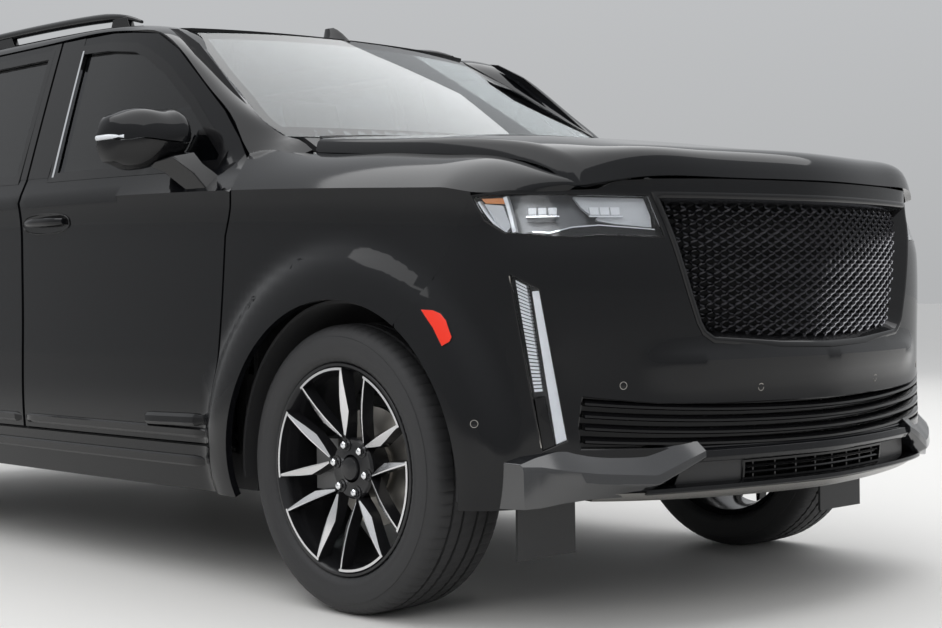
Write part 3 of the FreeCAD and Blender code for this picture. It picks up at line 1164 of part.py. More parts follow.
steering = joined("SteeringAssembly", [ring, wheel_hub, column, cross_bar, down_bar])
steering.Placement = FreeCAD.Placement(Vector(), Rotation(Vector(0, 1, 0), -66))
steering.setExpression("Placement.Base.x", f"{FRONT_X} - 1100")
steering.setExpression("Placement.Base.y", "Sizes.seat_centre")
steering.setExpression("Placement.Base.z", "Sizes.floor_z + 480")
dash_tool = feature("DashboardTool", side_prism(side_outline(DASH), -DASH_HALF, DASH_HALF))
publish(cut_from("SteeringWheel", steering, dash_tool), "steering_wheel")


# Seats: cushion on a base, leaning back, head restraint
def seat(name, axle, x, y, width, floor):
    """One seat whose cushion starts at x behind its axle."""
    base_z = f"{floor} + Sizes.floor_thickness"
    top = f"{base_z} + Sizes.seat_height"
    low, high = f"{y} - {width} / 2", f"{y} + {width} / 2"
    plinth = block(f"{name}Plinth", (f"{axle} + {x} + 60", f"{axle} + {x} + Sizes.cushion_depth - 60"),
                   (f"{low} + 50", f"{high} - 50"), (base_z, f"{top} - Sizes.cushion_thickness"))
    cushion = block(f"{name}Cushion", (f"{axle} + {x}", f"{axle} + {x} + Sizes.cushion_depth"), (low, high),
                    (f"{top} - Sizes.cushion_thickness", top))
    back = block(f"{name}Back", ("0", "Sizes.cushion_thickness - 30"), (low, high),
                 ("-60", "Sizes.seat_back"))
    head = block(f"{name}Head", ("20", "Sizes.cushion_thickness - 40"), (f"{y} - 130", f"{y} + 130"),
                 ("Sizes.seat_back - 10", "Sizes.seat_back + 170"))
    leaning = joined(f"{name}Leaning", [back, head])
    leaning.Placement = FreeCAD.Placement(Vector(), Rotation(Vector(0, 1, 0), -18))
    leaning.setExpression("Placement.Base.x", f"{axle} + {x}")
    leaning.setExpression("Placement.Base.z", f"{top} - 40")
    return joined(name, [plinth, cushion, leaning])


# Rows of seats: name, axle, cushion's rear edge from it, middle of the car to a seat's middle, width, floor
SEATS = [("Front", FRONT_X, "-1720", "Sizes.seat_centre", "Sizes.seat_width", "Sizes.floor_z"),
         ("Middle", FRONT_X, "-2610", "Sizes.seat_centre", "Sizes.seat_width", "Sizes.floor_z"),
         ("Rear", REAR_X, "-200", "Sizes.bench_centre", "Sizes.bench_width", "Sizes.load_floor_z")]
publish(group("Seats", [pair(f"{name}Seats", seat(f"{name}Seat", axle, x, f"-{y}", width, floor))
                        for name, axle, x, y, width, floor in SEATS]), "seats")

# Tray under the nose with the air deflectors ahead of the front tyres
TRAY_Z = LIP_BOTTOM - s.tray_thickness
tray = lower_body(40).common(
    cuboid((FRONT + s.arch_radius + 10, NOSE), (-1000, 1000), (TRAY_Z, LIP_BOTTOM))).cut(nose_cover)
deflectors = [cuboid((FRONT + 515, FRONT + 523), (side * 805, side * 580), (187, TRAY_Z + 1))
              for side in (-1, 1)]
publish(feature("NoseTray", largest(tray.fuse(deflectors))), "nose_tray")

# Check every object, then write one file for each sub-part
doc.recompute()
for item in doc.Objects:
    if any(state in ("Invalid", "Error") for state in item.State):
        raise RuntimeError(f"{item.Name} is {item.State}")
os.makedirs("parts", exist_ok=True)
for item in NODES:
    if item.Shape.isNull() or not item.Shape.isValid() or not item.Shape.Solids:
        raise RuntimeError(f"{item.Label} has no valid shape")
    item.Shape.exportStep(f"parts/{item.Label}.step")
    print(item.Label, len(item.Shape.Solids), len(item.Shape.Faces), round(item.Shape.Volume / 1e6, 2))
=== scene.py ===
import math

import bmesh
import bpy
import numpy as np
from mathutils import Matrix, Vector
from mathutils.geometry import delaunay_2d_cdt


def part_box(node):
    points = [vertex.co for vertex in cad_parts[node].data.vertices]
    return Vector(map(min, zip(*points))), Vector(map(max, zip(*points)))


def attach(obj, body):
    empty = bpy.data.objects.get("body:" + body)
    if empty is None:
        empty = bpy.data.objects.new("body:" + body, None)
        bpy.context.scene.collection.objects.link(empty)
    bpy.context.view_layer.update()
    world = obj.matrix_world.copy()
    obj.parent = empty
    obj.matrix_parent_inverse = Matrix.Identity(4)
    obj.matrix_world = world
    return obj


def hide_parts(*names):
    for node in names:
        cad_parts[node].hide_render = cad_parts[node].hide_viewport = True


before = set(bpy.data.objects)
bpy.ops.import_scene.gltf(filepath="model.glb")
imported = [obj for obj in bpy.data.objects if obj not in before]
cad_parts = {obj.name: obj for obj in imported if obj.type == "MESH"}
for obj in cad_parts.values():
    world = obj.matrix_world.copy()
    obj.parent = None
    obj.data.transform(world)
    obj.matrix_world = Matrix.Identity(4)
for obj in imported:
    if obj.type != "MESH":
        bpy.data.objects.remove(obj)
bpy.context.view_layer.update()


def middle_x(node):
    low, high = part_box(node)
    return (low[0] + high[0]) / 2


# Places taken from the frame; x in the tables below is measured forwards from the front axle
FRONT = middle_x("tyre_front_right")
REAR = middle_x("tyre_rear_right")
AXLE_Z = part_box("tyre_front_right")[1][2] / 2
REAR_X = REAR - FRONT
ARCH = 0.482
SIDES = (("right", -1), ("left", 1))


# Materials: one function makes them all, and a noise bump gives each its grain

def material(name, colour, roughness, metallic=0.0, grain=(0.0, 60.0), **sockets):
    made = bpy.data.materials.new(name)
    made.use_nodes = True
    nodes, links = made.node_tree.nodes, made.node_tree.links
    shader = nodes["Principled BSDF"]
    shader.inputs["Base Color"].default_value = (*colour, 1)
    shader.inputs["Roughness"].default_value = roughness
    shader.inputs["Metallic"].default_value = metallic
    for socket, value in sockets.items():
        shader.inputs[socket.replace("_", " ")].default_value = value
    strength, scale = grain
    if strength:
        place = nodes.new("ShaderNodeTexCoord")
        noise = nodes.new("ShaderNodeTexNoise")
        noise.inputs["Scale"].default_value = scale
        noise.inputs["Detail"].default_value = 3
        bump = nodes.new("ShaderNodeBump")
        bump.inputs["Strength"].default_value = strength
        bump.inputs["Distance"].default_value = 0.002
        links.new(place.outputs["Object"], noise.inputs["Vector"])
        links.new(noise.outputs["Fac"], bump.inputs["Height"])
        links.new(bump.outputs["Normal"], shader.inputs["Normal"])
    return made


PAINT = material("paint", (0.004, 0.0042, 0.005), 0.06, grain=(0.002, 900), IOR=1.37)
BAND = material("band_paint", (0.012, 0.0125, 0.014), 0.14, grain=(0.003, 700), IOR=1.85)
GLOSS_TRIM = material("gloss_trim", (0.005, 0.005, 0.0055), 0.1, grain=(0.003, 700), IOR=1.4)
SATIN_TRIM = material("satin_trim", (0.02, 0.02, 0.021), 0.42, grain=(0.15, 900))
DARK_CHROME = material("dark_chrome", (0.19, 0.19, 0.20), 0.13, 1.0, grain=(0.01, 300))
CHROME = material("chrome", (0.82, 0.83, 0.85), 0.07, 1.0, grain=(0.01, 300))
MACHINED = material("machined_face", (0.72, 0.72, 0.73), 0.2, 1.0, grain=(0.02, 1200))
POCKET = material("pocket_paint", (0.010, 0.010, 0.011), 0.2, grain=(0.02, 900), IOR=1.42)
RUBBER = material("tyre_rubber", (0.022, 0.022, 0.023), 0.62, grain=(0.35, 900))
SEAL = material("seal_rubber", (0.012, 0.012, 0.012), 0.6, grain=(0.2, 700))
PRIVACY = material("privacy_glass", (0.012, 0.014, 0.017), 0.02, grain=(0.001, 3), Transmission_Weight=0.9)
SCREEN_GLASS = material("screen_glass", (0.42, 0.47, 0.48), 0.01, grain=(0.001, 3), Transmission_Weight=1.0)
LENS = material("clear_lens", (0.95, 0.96, 0.97), 0.02, grain=(0.003, 200), Transmission_Weight=1.0, IOR=1.3)
LIGHT_GUIDE = material("light_guide", (0.86, 0.88, 0.92), 0.18, grain=(0.05, 900), Coat_Weight=0.5)
REFLECTOR_SILVER = material("reflector", (0.62, 0.64, 0.67), 0.3, grain=(0.15, 260), Coat_Weight=0.6)
BOWL = material("lamp_bowl", (0.02, 0.02, 0.022), 0.3, grain=(0.1, 400))
# Headlamp bowl: real silver, its grey lifted to stand in for the sky's reflection in the lens (painted
# reflection)
BOWL_SILVER_AND_PAINTED_SKY = material("bowl_silver_and_painted_sky", (0.15, 0.155, 0.162), 0.28, 0.5, grain=(0.1, 400))
AMBER = material("amber_lens", (0.75, 0.3, 0.12), 0.15, grain=(0.05, 500))
RED_LENS = material("red_lens", (0.62, 0.012, 0.01), 0.1, grain=(0.06, 500), Coat_Weight=1.0)
MARKER_RED = material("marker_lens", (0.72, 0.024, 0.006), 0.16, grain=(0.12, 300))
SPLITTER = material("splitter", (0.35, 0.34, 0.32), 0.25, 0.8, grain=(0.03, 300))
CHASSIS = material("chassis_paint", (0.02, 0.02, 0.02), 0.5, grain=(0.3, 200))
CAST = material("cast_metal", (0.22, 0.22, 0.22), 0.5, 0.9, grain=(0.5, 250))
STEEL = material("exhaust_steel", (0.42, 0.4, 0.37), 0.34, 1.0, grain=(0.1, 120))
TANK = material("tank_plastic", (0.02, 0.02, 0.02), 0.55, grain=(0.3, 300))
LINER = material("liner_felt", (0.016, 0.016, 0.017), 0.85, grain=(0.6, 500))
CARPET = material("carpet", (0.02, 0.02, 0.021), 0.95, grain=(0.8, 800))
DASH = material("dash_plastic", (0.025, 0.025, 0.027), 0.5, grain=(0.4, 700))
LEATHER = material("leather", (0.03, 0.029, 0.029), 0.45, grain=(0.35, 500))

# Slot named for each look; show() looks up a piece's slot here unless the piece names another one or none,
# and does nothing more with it
SLOT_LOOKS = {"body_paint": (PAINT, BAND), "black_trim": (GLOSS_TRIM, SATIN_TRIM, BOWL, BOWL_SILVER_AND_PAINTED_SKY),
              "dark_chrome": (DARK_CHROME, CHROME, STEEL), "tinted_glass": (PRIVACY,),
              "clear_glass": (SCREEN_GLASS,), "lamp_red": (RED_LENS, MARKER_RED),
              "lamp_clear": (LENS, LIGHT_GUIDE, REFLECTOR_SILVER, AMBER),
              "grey_plastic": (SPLITTER, DASH), "seat_leather": (LEATHER,)}
OWN_SLOT = {look.name: slot for slot, looks in SLOT_LOOKS.items() for look in looks}


# Curves

class Curve:
    """Natural cubic spline through values given at rising keys."""

    def __init__(self, keys, values):
        self.keys = np.asarray(keys, float)
        self.values = np.asarray(values, float)
        gaps = np.diff(self.keys)
        slopes = np.diff(self.values) / gaps
        system = np.eye(len(self.keys))
        right = np.zeros(len(self.keys))
        for i in range(1, len(gaps)):
            system[i, i - 1:i + 2] = gaps[i - 1], 2 * (gaps[i - 1] + gaps[i]), gaps[i]
            right[i] = 6 * (slopes[i] - slopes[i - 1])
        self.bends = np.linalg.solve(system, right)

    def __call__(self, at):
        at = np.clip(np.asarray(at, float), self.keys[0], self.keys[-1])
        i = np.clip(np.searchsorted(self.keys, at) - 1, 0, len(self.keys) - 2)
        gap = self.keys[i + 1] - self.keys[i]
        a = (self.keys[i + 1] - at) / gap
        b = 1 - a
        line = a * self.values[i] + b * self.values[i + 1]
        return line + ((a ** 3 - a) * self.bends[i] + (b ** 3 - b) * self.bends[i + 1]) * gap ** 2 / 6


def smooth_path(points, count):
    """The points joined by a smooth curve, as an array of count points."""
    points = np.asarray(points, float)
    keys = np.concatenate([[0], np.cumsum(np.linalg.norm(np.diff(points, axis=0), axis=1))])
    at = np.linspace(0, keys[-1], count)
    return np.stack([Curve(keys, column)(at) for column in points.T], axis=1)


def straight_path(points, step, closed=False):
    """The points joined by straight lines that are divided into short steps."""
    points = [np.asarray(p, float) for p in points]
    ends = points[1:] + points[:1] if closed else points[1:]
    out = []
    for start, end in zip(points, ends):
        count = max(1, math.ceil(np.linalg.norm(end - start) / step))
        out += [start + (end - start) * i / count for i in range(count)]
    return np.array(out if closed else out + [points[-1]])


def ramp(low, high, at):
    """0 below low, 1 above high, smooth between."""
    s = np.clip((np.asarray(at, float) - low) / (high - low), 0, 1)
    return s * s * (3 - 2 * s)


def turns(count):
    """Angles of a full turn, in radians."""
    return np.linspace(0, 2 * math.pi, count, endpoint=False)


# Meshes are pairs of points and faces until they are shown

def grid(points, closed_u=False, closed_v=False):
    """Faces over a two-way array of points."""
    points = np.asarray(points, float)
    rows, columns = points.shape[:2]
    faces = []
    for i in range(rows if closed_u else rows - 1):
        for j in range(columns if closed_v else columns - 1):
            a, b = i * columns + j, i * columns + (j + 1) % columns
            c, d = (i + 1) % rows * columns + (j + 1) % columns, (i + 1) % rows * columns + j
            faces.append((a, b, c, d))
    return points.reshape(-1, 3), faces


def inside(points, outline):
    """Which of the points lie inside a closed outline."""
    x, y = points[:, 0], points[:, 1]
    hit = np.zeros(len(points), bool)
    ends = np.roll(outline, -1, axis=0)
    for (x1, y1), (x2, y2) in zip(outline, ends):
        if y1 != y2:
            crosses = (y1 > y) != (y2 > y)
            hit ^= crosses & (x < (x2 - x1) * (y - y1) / (y2 - y1) + x1)
    return hit


def patch(outline, surface, holes=(), creases=(), step=0.03):
    """Triangles over a flat outline with holes, bent onto the surface."""
    loops = [straight_path(loop, step, closed=True) for loop in (outline, *holes)]
    lines = [straight_path(line, step) for line in creases]
    points, edges = [], []
    for loop in loops:
        start = len(points)
        points += list(loop)
        edges += [(start + i, start + (i + 1) % len(loop)) for i in range(len(loop))]
    for line in lines:
        start = len(points)
        points += list(line)
        edges += [(start + i, start + i + 1) for i in range(len(line) - 1)]
    low, high = loops[0].min(axis=0), loops[0].max(axis=0)
    mesh_x, mesh_y = np.meshgrid(np.arange(low[0] + step / 2, high[0], step),
                                 np.arange(low[1] + step / 2, high[1], step))
    field = np.stack([mesh_x.ravel(), mesh_y.ravel()], axis=1)
    near = np.min(np.linalg.norm(field[:, None] - np.array(points)[None], axis=2), axis=1)
    points += list(field[near > step * 0.55])
    verts, _, faces, *_ = delaunay_2d_cdt([Vector(p) for p in points], edges, [], 0, 1e-6)
    flat = np.array([tuple(v) for v in verts])
    middles = np.array([flat[list(face)].mean(axis=0) for face in faces])
    keep = inside(middles, loops[0])
    for hole in loops[1:]:
        keep &= ~inside(middles, hole)
    faces = [tuple(face) for face, good in zip(faces, keep) if good]
    return surface(flat[:, 0], flat[:, 1]), faces


CAR_MIDDLE = np.array([0.0, 0.0, 0.9])


def normals_of(points, faces):
    out = np.zeros_like(points)
    for face in faces:
        a, b, c = points[face[0]], points[face[1]], points[face[2]]
        n = np.cross(b - a, c - a)
        for index in face:
            out[index] += n
    size = np.linalg.norm(out, axis=1, keepdims=True)
    return out / np.where(size > 0, size, 1)


def thick(data, depth):
    """A sheet made solid: copied towards the car's middle and closed round its edges."""
    points, faces = data
    count = len(points)
    normals = normals_of(points, faces)
    if np.sum(normals * (points - CAR_MIDDLE)) > 0:
        normals = -normals
    inner = points + normals * depth
    edges = {}
    for face in faces:
        for a, b in zip(face, face[1:] + face[:1]):
            if (b, a) in edges:
                del edges[(b, a)]
            else:
                edges[(a, b)] = True
    sides = [(b, a, a + count, b + count) for a, b in edges]
    back = [tuple(index + count for index in reversed(face)) for face in faces]
    return np.concatenate([points, inner]), list(faces) + back + sides


def joined(*parts):
    points, faces, start = [], [], 0
    for more_points, more_faces in parts:
        points.append(np.asarray(more_points, float))
        faces += [tuple(index + start for index in face) for face in more_faces]
        start += len(more_points)
    return np.concatenate(points), faces


def flipped(data):
    """The same mesh on the other side of the car."""
    points, faces = data
    return points * np.array([1, -1, 1]), [tuple(reversed(face)) for face in faces]


def whole(data):
    """A right-hand half with its mirror image, joined along the middle."""
    points, faces = np.array(data[0]), data[1]
    middle = np.abs(points[:, 1]) < 0.004
    points[middle, 1] = 0
    count = len(points)
    other, other_faces = flipped((points, faces))
    index = np.where(middle, np.arange(count), np.arange(count) + count)
    other_half = [tuple(int(index[i]) for i in face) for face in other_faces]
    return np.concatenate([points, other]), list(faces) + other_half


def moved(data, offset):
    return data[0] + np.asarray(offset, float), data[1]


def wrap_box(u, z_low, z_high, half, near, far):
    """Corners of a small box that stands in the nose."""
    middle = wrap(u, z_low, near)
    return (middle[0] - (far - near), middle[1] - half, z_low), (middle[0], middle[1] + half, z_high)


def box(low, high):
    points = [(x, y, z) for x in (low[0], high[0]) for y in (low[1], high[1]) for z in (low[2], high[2])]
    faces = [(0, 1, 3, 2), (4, 6, 7, 5), (0, 4, 5, 1), (2, 3, 7, 6), (0, 2, 6, 4), (1, 5, 7, 3)]
    return np.array(points, float), faces


def loft(sections):
    """Closed sections with as many points each, joined one after another and capped."""
    points, faces = grid(np.array(sections, float), closed_v=True)
    count = len(sections[0])
    return points, faces + [tuple(reversed(range(count))), tuple(range(len(points) - count, len(points)))]


def bar(edges):
    """Bar from the lines that run along its edges, in order round it, with both ends capped."""
    edges = np.asarray(edges, float)
    number, count = edges.shape[:2]
    points, faces = grid(edges, closed_u=True)
    return points, faces + [tuple(i * count for i in range(number)),
                            tuple((i + 1) * count - 1 for i in reversed(range(number)))]


def tube(path, radius, sides=8):
    """Round bar along a path of points."""
    path = np.asarray(path, float)
    ahead = np.roll(path, -1, axis=0) - np.roll(path, 1, axis=0)
    ahead[0], ahead[-1] = path[1] - path[0], path[-1] - path[-2]
    ahead /= np.linalg.norm(ahead, axis=1, keepdims=True)
    up = np.array([0, 0, 1.0]) if abs(ahead[0][2]) < 0.8 else np.array([1.0, 0, 0])
    rings = []
    for point, along in zip(path, ahead):
        across_path = np.cross(along, up)
        across_path /= np.linalg.norm(across_path)
        top = np.cross(across_path, along)
        rings.append([point + radius * (math.cos(a) * across_path + math.sin(a) * top) for a in turns(sides)])
    points, faces = grid(np.array(rings), closed_v=True)
    return points, faces + [tuple(range(sides)), tuple(reversed(range(len(points) - sides, len(points))))]


def rounded(item, width, limit, harden):
    """Bevels the edges whose faces meet at more than the limit, in degrees."""
    rounding = item.modifiers.new("Rounding", "BEVEL")
    rounding.width = width
    rounding.segments = 2
    rounding.limit_method = "ANGLE"
    rounding.angle_limit = math.radians(limit)
    rounding.harden_normals = harden


def show(name, data, look, body, stands_for=(), slot="own", bevel=0.0, sharp=38):
    """Makes the object, smooth but for its sharp edges, and lets it ride on its body."""
    if slot == "own":
        slot = OWN_SLOT.get(look.name)
    points, faces = data
    mesh = bpy.data.meshes.new(name)
    mesh.from_pydata([tuple(p) for p in points], [], faces)
    working = bmesh.new()
    working.from_mesh(mesh)
    bmesh.ops.remove_doubles(working, verts=working.verts, dist=1e-5)
    bmesh.ops.recalc_face_normals(working, faces=working.faces)
    working.to_mesh(mesh)
    working.free()
    mesh.polygons.foreach_set("use_smooth", [True] * len(mesh.polygons))
    mesh.set_sharp_from_angle(angle=math.radians(sharp))
    mesh.materials.append(look)
    made = bpy.data.objects.new(name, mesh)
    bpy.context.scene.collection.objects.link(made)
    if bevel:
        rounded(made, bevel, 50, True)
    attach(made, body)
    if stands_for:
        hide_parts(*stands_for)
    return made


def show_both(name, data, look, body, stands_for=(), **options):
    """A right-hand piece and its mirror image; {side} in a name becomes right or left."""
    for side, sign in SIDES:
        show(f"{name}_{side}", data if sign < 0 else flipped(data), look, body.format(side=side),
             [node.format(side=side) for node in stands_for], **options)


# Body surface: a plan curve from the nose round the right side to the tail, moved inwards with height
PLAN = np.array([(0.960, 0), (0.951, 0.131), (0.932, 0.262), (0.892, 0.450), (0.850, 0.590),
                 (0.806, 0.693), (0.741, 0.800), (0.638, 0.904), (0.508, 0.952), (0.300, 0.969),
                 (0.0, 0.985), (-0.491, 1.005), (-1.400, 1.018), (-2.200, 1.016), (-2.971, 1.004),
                 (-3.600, 0.982), (-4.127, 0.948), (-4.290, 0.890), (-4.370, 0.720), (-4.398, 0.400),
                 (-4.407, 0)])
NOSE_POINTS = 8
PLAN_KEYS = np.concatenate([[0], np.cumsum(np.linalg.norm(np.diff(PLAN, axis=0), axis=1))])
BOTH_KEYS = np.concatenate([-PLAN_KEYS[NOSE_POINTS:0:-1], PLAN_KEYS])
BOTH_PLAN = np.concatenate([PLAN[NOSE_POINTS:0:-1] * [1, -1], PLAN])
plan_x = Curve(BOTH_KEYS, BOTH_PLAN[:, 0])
plan_y = Curve(BOTH_KEYS, BOTH_PLAN[:, 1])
DENSE = np.linspace(0, PLAN_KEYS[-1], 4000)
DENSE_X = plan_x(DENSE)
DENSE_Y = plan_y(DENSE)
SIDE_START = PLAN_KEYS[NOSE_POINTS]
CORNER_START = PLAN_KEYS[6]
# Ridge across the nose: heights of its foot, crest and top, how far it stands out, where it fades away
RIDGE_FOOT, RIDGE_Z, RIDGE_TOP = 0.640, 0.724, 0.765
RIDGE_PROUD = 0.023
RIDGE_FADE, RIDGE_END = 0.46, 0.68
CORNER_LEAN = 0.028


def u_at_x(x):
    """Place along the plan curve of a point of the side."""
    return np.interp(-np.asarray(x, float), -DENSE_X, DENSE)


def u_at_y(y):
    """Place along the plan curve of a point of the nose; negative on the left."""
    nose = DENSE < SIDE_START
    return np.interp(np.abs(y), DENSE_Y[nose], DENSE[nose]) * np.sign(y)


shoulder = Curve([-4.4, -3.071, -1.9, -0.49, 0, 0.496, 0.75],
                 [1.287, 1.272, 1.253, 1.229, 1.211, 1.189, 1.180])
belt = Curve([-4.4, -3.071, -1.944, -0.983, -0.6, 0.3], [1.371, 1.356, 1.338, 1.326, 1.322, 1.31])
SIDE_INSET = Curve([0.20, 0.245, 0.29, 0.335, 0.45, 0.65, 0.86, 0.95, 1.0],
                   [0.060, 0.036, 0.022, 0.014, 0.006, 0.010, 0.012, 0.009, 0.0])
NOSE_INSET = Curve([0.25, 0.30, 0.40, 0.60, 0.80, 1.0, 1.10, 1.16, 1.20],
                   [0.03, 0.02, 0.0, -0.004, -0.006, -0.007, 0.002, 0.010, 0.008])
BELT_INSET = 0.039
TUMBLEHOME = 0.308
TAPER = 0.080
GLASS_HEIGHT = 0.52
GLASS_BULGE = 0.03
FLARES = ((0.0, 0.050), (REAR_X, 0.034))


def inset(u, z):
    """How far the skin lies inside the plan curve."""
    x = plan_x(u)
    crease = shoulder(x)
    waist = belt(x)
    upper = np.clip((z - crease) / (waist - crease), 0, 1)
    taper = TAPER * (np.clip(x + 1.4, 0, 1.0) / 0.85) ** 2
    side = SIDE_INSET(np.minimum(z / crease, 1)) + upper * (BELT_INSET + taper)
    bulge = np.clip(z - waist, 0, GLASS_HEIGHT)
    bulge = GLASS_BULGE * bulge * np.clip(GLASS_HEIGHT - z + waist, 0, GLASS_HEIGHT)
    side = side + TUMBLEHOME * np.maximum(z - waist, 0) - bulge
    for axle_x, proud in FLARES:
        radius = np.hypot(x - axle_x, z - AXLE_Z)
        side = side - proud * (ramp(0.66, 0.57, radius) * 0.8 + 0.2 * ramp(0.60, 0.50, radius)) * (z < crease)
    away = np.abs(u)
    blend = ramp(CORNER_START, SIDE_START, away)
    crest = np.minimum(ramp(RIDGE_TOP, RIDGE_Z, z), ramp(RIDGE_FOOT, RIDGE_Z, z))
    ridge = RIDGE_PROUD * crest * ramp(RIDGE_END, RIDGE_FADE, away)
    lean = CORNER_LEAN * ramp(1.0, 1.19, z) * ramp(0.55, 0.78, away) * ramp(1.12, 0.92, away)
    return side * blend + (NOSE_INSET(z) - ridge) * (1 - blend) + lean


def wrap(u, z, depth=0.0):
    """Points of the right side's skin, or of a layer below it."""
    u, z = np.broadcast_arrays(np.asarray(u, float), np.asarray(z, float))
    small = 0.002
    slope = np.stack([plan_x(u + small) - plan_x(u - small), plan_y(u + small) - plan_y(u - small)], axis=-1)
    slope /= np.linalg.norm(slope, axis=-1, keepdims=True)
    depth = inset(u, z) + depth
    x = FRONT + plan_x(u) - slope[..., 1] * depth
    return np.stack([x, -(plan_y(u) + slope[..., 0] * depth), z], axis=-1)


def side(x, z, depth=0.0):
    """The same for points of the side given by their distance from the front axle."""
    return wrap(u_at_x(x), z, depth)


def layer(depth, surface=wrap):
    """The surface at one depth below the skin."""
    return lambda u, z: surface(u, z, depth)


def arch_arc(axle_x, radius, start, end, count=24):
    """Points of a wheel opening in side view, between two angles in degrees from straight ahead."""
    angles = np.radians(np.linspace(start, end, count))
    return [(axle_x + radius * math.cos(a), AXLE_Z + radius * math.sin(a)) for a in angles]


def line_of(curve, start, end, count=30):
    """Crease line in side view."""
    return [(x, float(curve(x))) for x in np.linspace(start, end, count)]


def shrunk(outline, gap):
    """Closed outline moved inwards by the gap."""
    points = np.asarray(outline, float)
    area = np.sum(points[:, 0] * np.roll(points[:, 1], -1) - np.roll(points[:, 0], -1) * points[:, 1])
    before = points - np.roll(points, 1, axis=0)
    after = np.roll(points, -1, axis=0) - points
    out = []
    for point, a, b in zip(points, before, after):
        a, b = a / np.linalg.norm(a), b / np.linalg.norm(b)
        left = np.array([-a[1] - b[1], a[0] + b[0]]) * (1 if area > 0 else -1)
        cosine = max(0.35, np.linalg.norm(left) / 2)
        out.append(point + left / np.linalg.norm(left) * gap / cosine)
    return np.array(out)


GAP = 0.0045
DOOR_BOTTOM = 0.448
CANT = 1.838
FRONT_DOOR = [(-1.763, DOOR_BOTTOM), (-1.763, CANT), (-1.42, 1.832), (-1.291, 1.820), (-1.137, 1.800),
              (-1.003, 1.731), (-0.870, 1.631), (-0.705, 1.502), (-0.610, 1.404), (-0.505, 1.266),
              (-0.492, 1.225), (-0.503, 1.177), (-0.536, 1.092), (-0.551, 0.936), (-0.593, 0.560),
              (-0.580, DOOR_BOTTOM)]
REAR_DOOR = [(-1.771, DOOR_BOTTOM), (-2.511, DOOR_BOTTOM), (-2.551, 0.56), (-2.639, 0.76), (-2.771, 0.92),
             (-2.836, 1.06), (-2.856, 1.30), (-2.921, 1.60), (-2.976, 1.818), (-3.051, CANT), (-1.771, CANT)]
FRONT_WINDOW = [(-1.595, 1.333), (-1.600, 1.785), (-1.420, 1.778), (-1.246, 1.756), (-1.150, 1.718),
                (-1.025, 1.650), (-0.867, 1.535), (-0.753, 1.432), (-0.672, 1.358), (-0.680, 1.326),
                (-0.983, 1.327)]
REAR_WINDOW = [(-1.840, 1.338), (-2.771, 1.353), (-2.831, 1.60), (-2.886, 1.77), (-2.921, 1.795),
               (-1.830, 1.792)]
QUARTER_WINDOW = [(-2.911, 1.358), (-3.911, 1.372), (-3.871, 1.56), (-3.831, 1.74), (-3.371, 1.79),
                  (-3.051, 1.795)]
SKIN = 0.022
SIDE_STEP = 0.04
EDGE_PROFILE = [(0.0, 0.015), (0.0, 0.070), (0.003, 0.078), (0.004, 0.015)]


def inner_loop(outline, inwards, step):
    """Points along an outline moved inwards with its corners, divided where the outline itself is divided."""
    outline = np.asarray(outline, float)
    inner = shrunk(outline, inwards)
    out = []
    for start, end, new_start, new_end in zip(outline, np.roll(outline, -1, 0), inner, np.roll(inner, -1, 0)):
        count = max(1, math.ceil(np.linalg.norm(end - start) / step))
        out += [new_start + (new_end - new_start) * i / count for i in range(count)]
    return np.array(out)


def frame_ring(outline, profile, surface=wrap, step=0.02, closed=False):
    """Frame that follows a closed outline; the profile's rows are the distance inwards and the depth."""
    rows = []
    for inwards, depth in profile:
        loop = inner_loop(outline, inwards, step)
        rows.append(surface(loop[:, 0], loop[:, 1], depth))
    return grid(np.array(rows), closed_u=closed, closed_v=True)


def side_strip(line, profile, tapered=0.0):
    """Moulding along a line on the side; the profile's rows are height above the line and depth."""
    line = straight_path(line, 0.03)
    x, z = line.T
    share = np.linspace(0, 1, len(x))
    full = np.minimum(np.minimum(share, 1 - share) / tapered, 1) if tapered else np.ones(len(x))
    return bar([side(x, z + rise * (0.6 + 0.4 * full), depth * full) for rise, depth in profile])


def door(place, outline, window):
    """One door's outer panel with its window opening, glass, frame trim and lining."""
    body = f"door_{place}_{{side}}"
    low, high = min(x for x, _ in outline), max(x for x, _ in outline)
    creases = [line_of(shoulder, low + 0.02, high - 0.03), line_of(belt, low + 0.02, min(high, -0.58) - 0.03)]
    panel = patch(shrunk(outline, GAP), side, [window], creases)
    show_both(f"door_skin_{place}", thick(panel, SKIN), PAINT, body, [f"door_{place}_{{side}}"], bevel=0.003)
    pane = patch(shrunk(window, -0.012), layer(0.014, side), step=0.05)
    show_both(f"door_pane_{place}", thick(pane, 0.005), PRIVACY, body, [f"glass_{place}_{{side}}"])
    rim = patch(shrunk(window, -0.020), layer(-0.0015, side), [shrunk(window, 0.012)], step=0.04)
    show_both(f"window_trim_{place}", thick(rim, 0.012), GLOSS_TRIM, body, bevel=0.0015, slot=None)
    lining = patch(shrunk(outline, 0.016), layer(0.070, side), [shrunk(window, -0.01)], step=0.08)
    edge = frame_ring(shrunk(outline, 0.012), EDGE_PROFILE, side, SIDE_STEP, closed=True)
    show_both(f"door_lining_{place}", joined(thick(lining, 0.008), edge), DASH, body)


door("front", FRONT_DOOR, FRONT_WINDOW)
door("rear", REAR_DOOR, REAR_WINDOW)

# Fender: the side up to the shoulder, then a band that climbs to the hood's gap
FENDER_MIDDLE = [(-0.61, 0.898, 1.345), (-0.355, 0.905, 1.305), (-0.019, 0.895, 1.280), (0.300, 0.885, 1.260),
                 (0.468, 0.875, 1.248), (0.655, 0.832, 1.208), (0.770, 0.742, 1.186)]
HOOD_GAP = [(-0.61, 0.803, 1.404), (-0.355, 0.803, 1.345), (-0.019, 0.803, 1.319), (0.300, 0.803, 1.293),
            (0.468, 0.803, 1.277), (0.655, 0.784, 1.226), (0.770, 0.730, 1.189)]
LAMP_TIP = (0.508, 1.166)
FENDER_END = 0.735


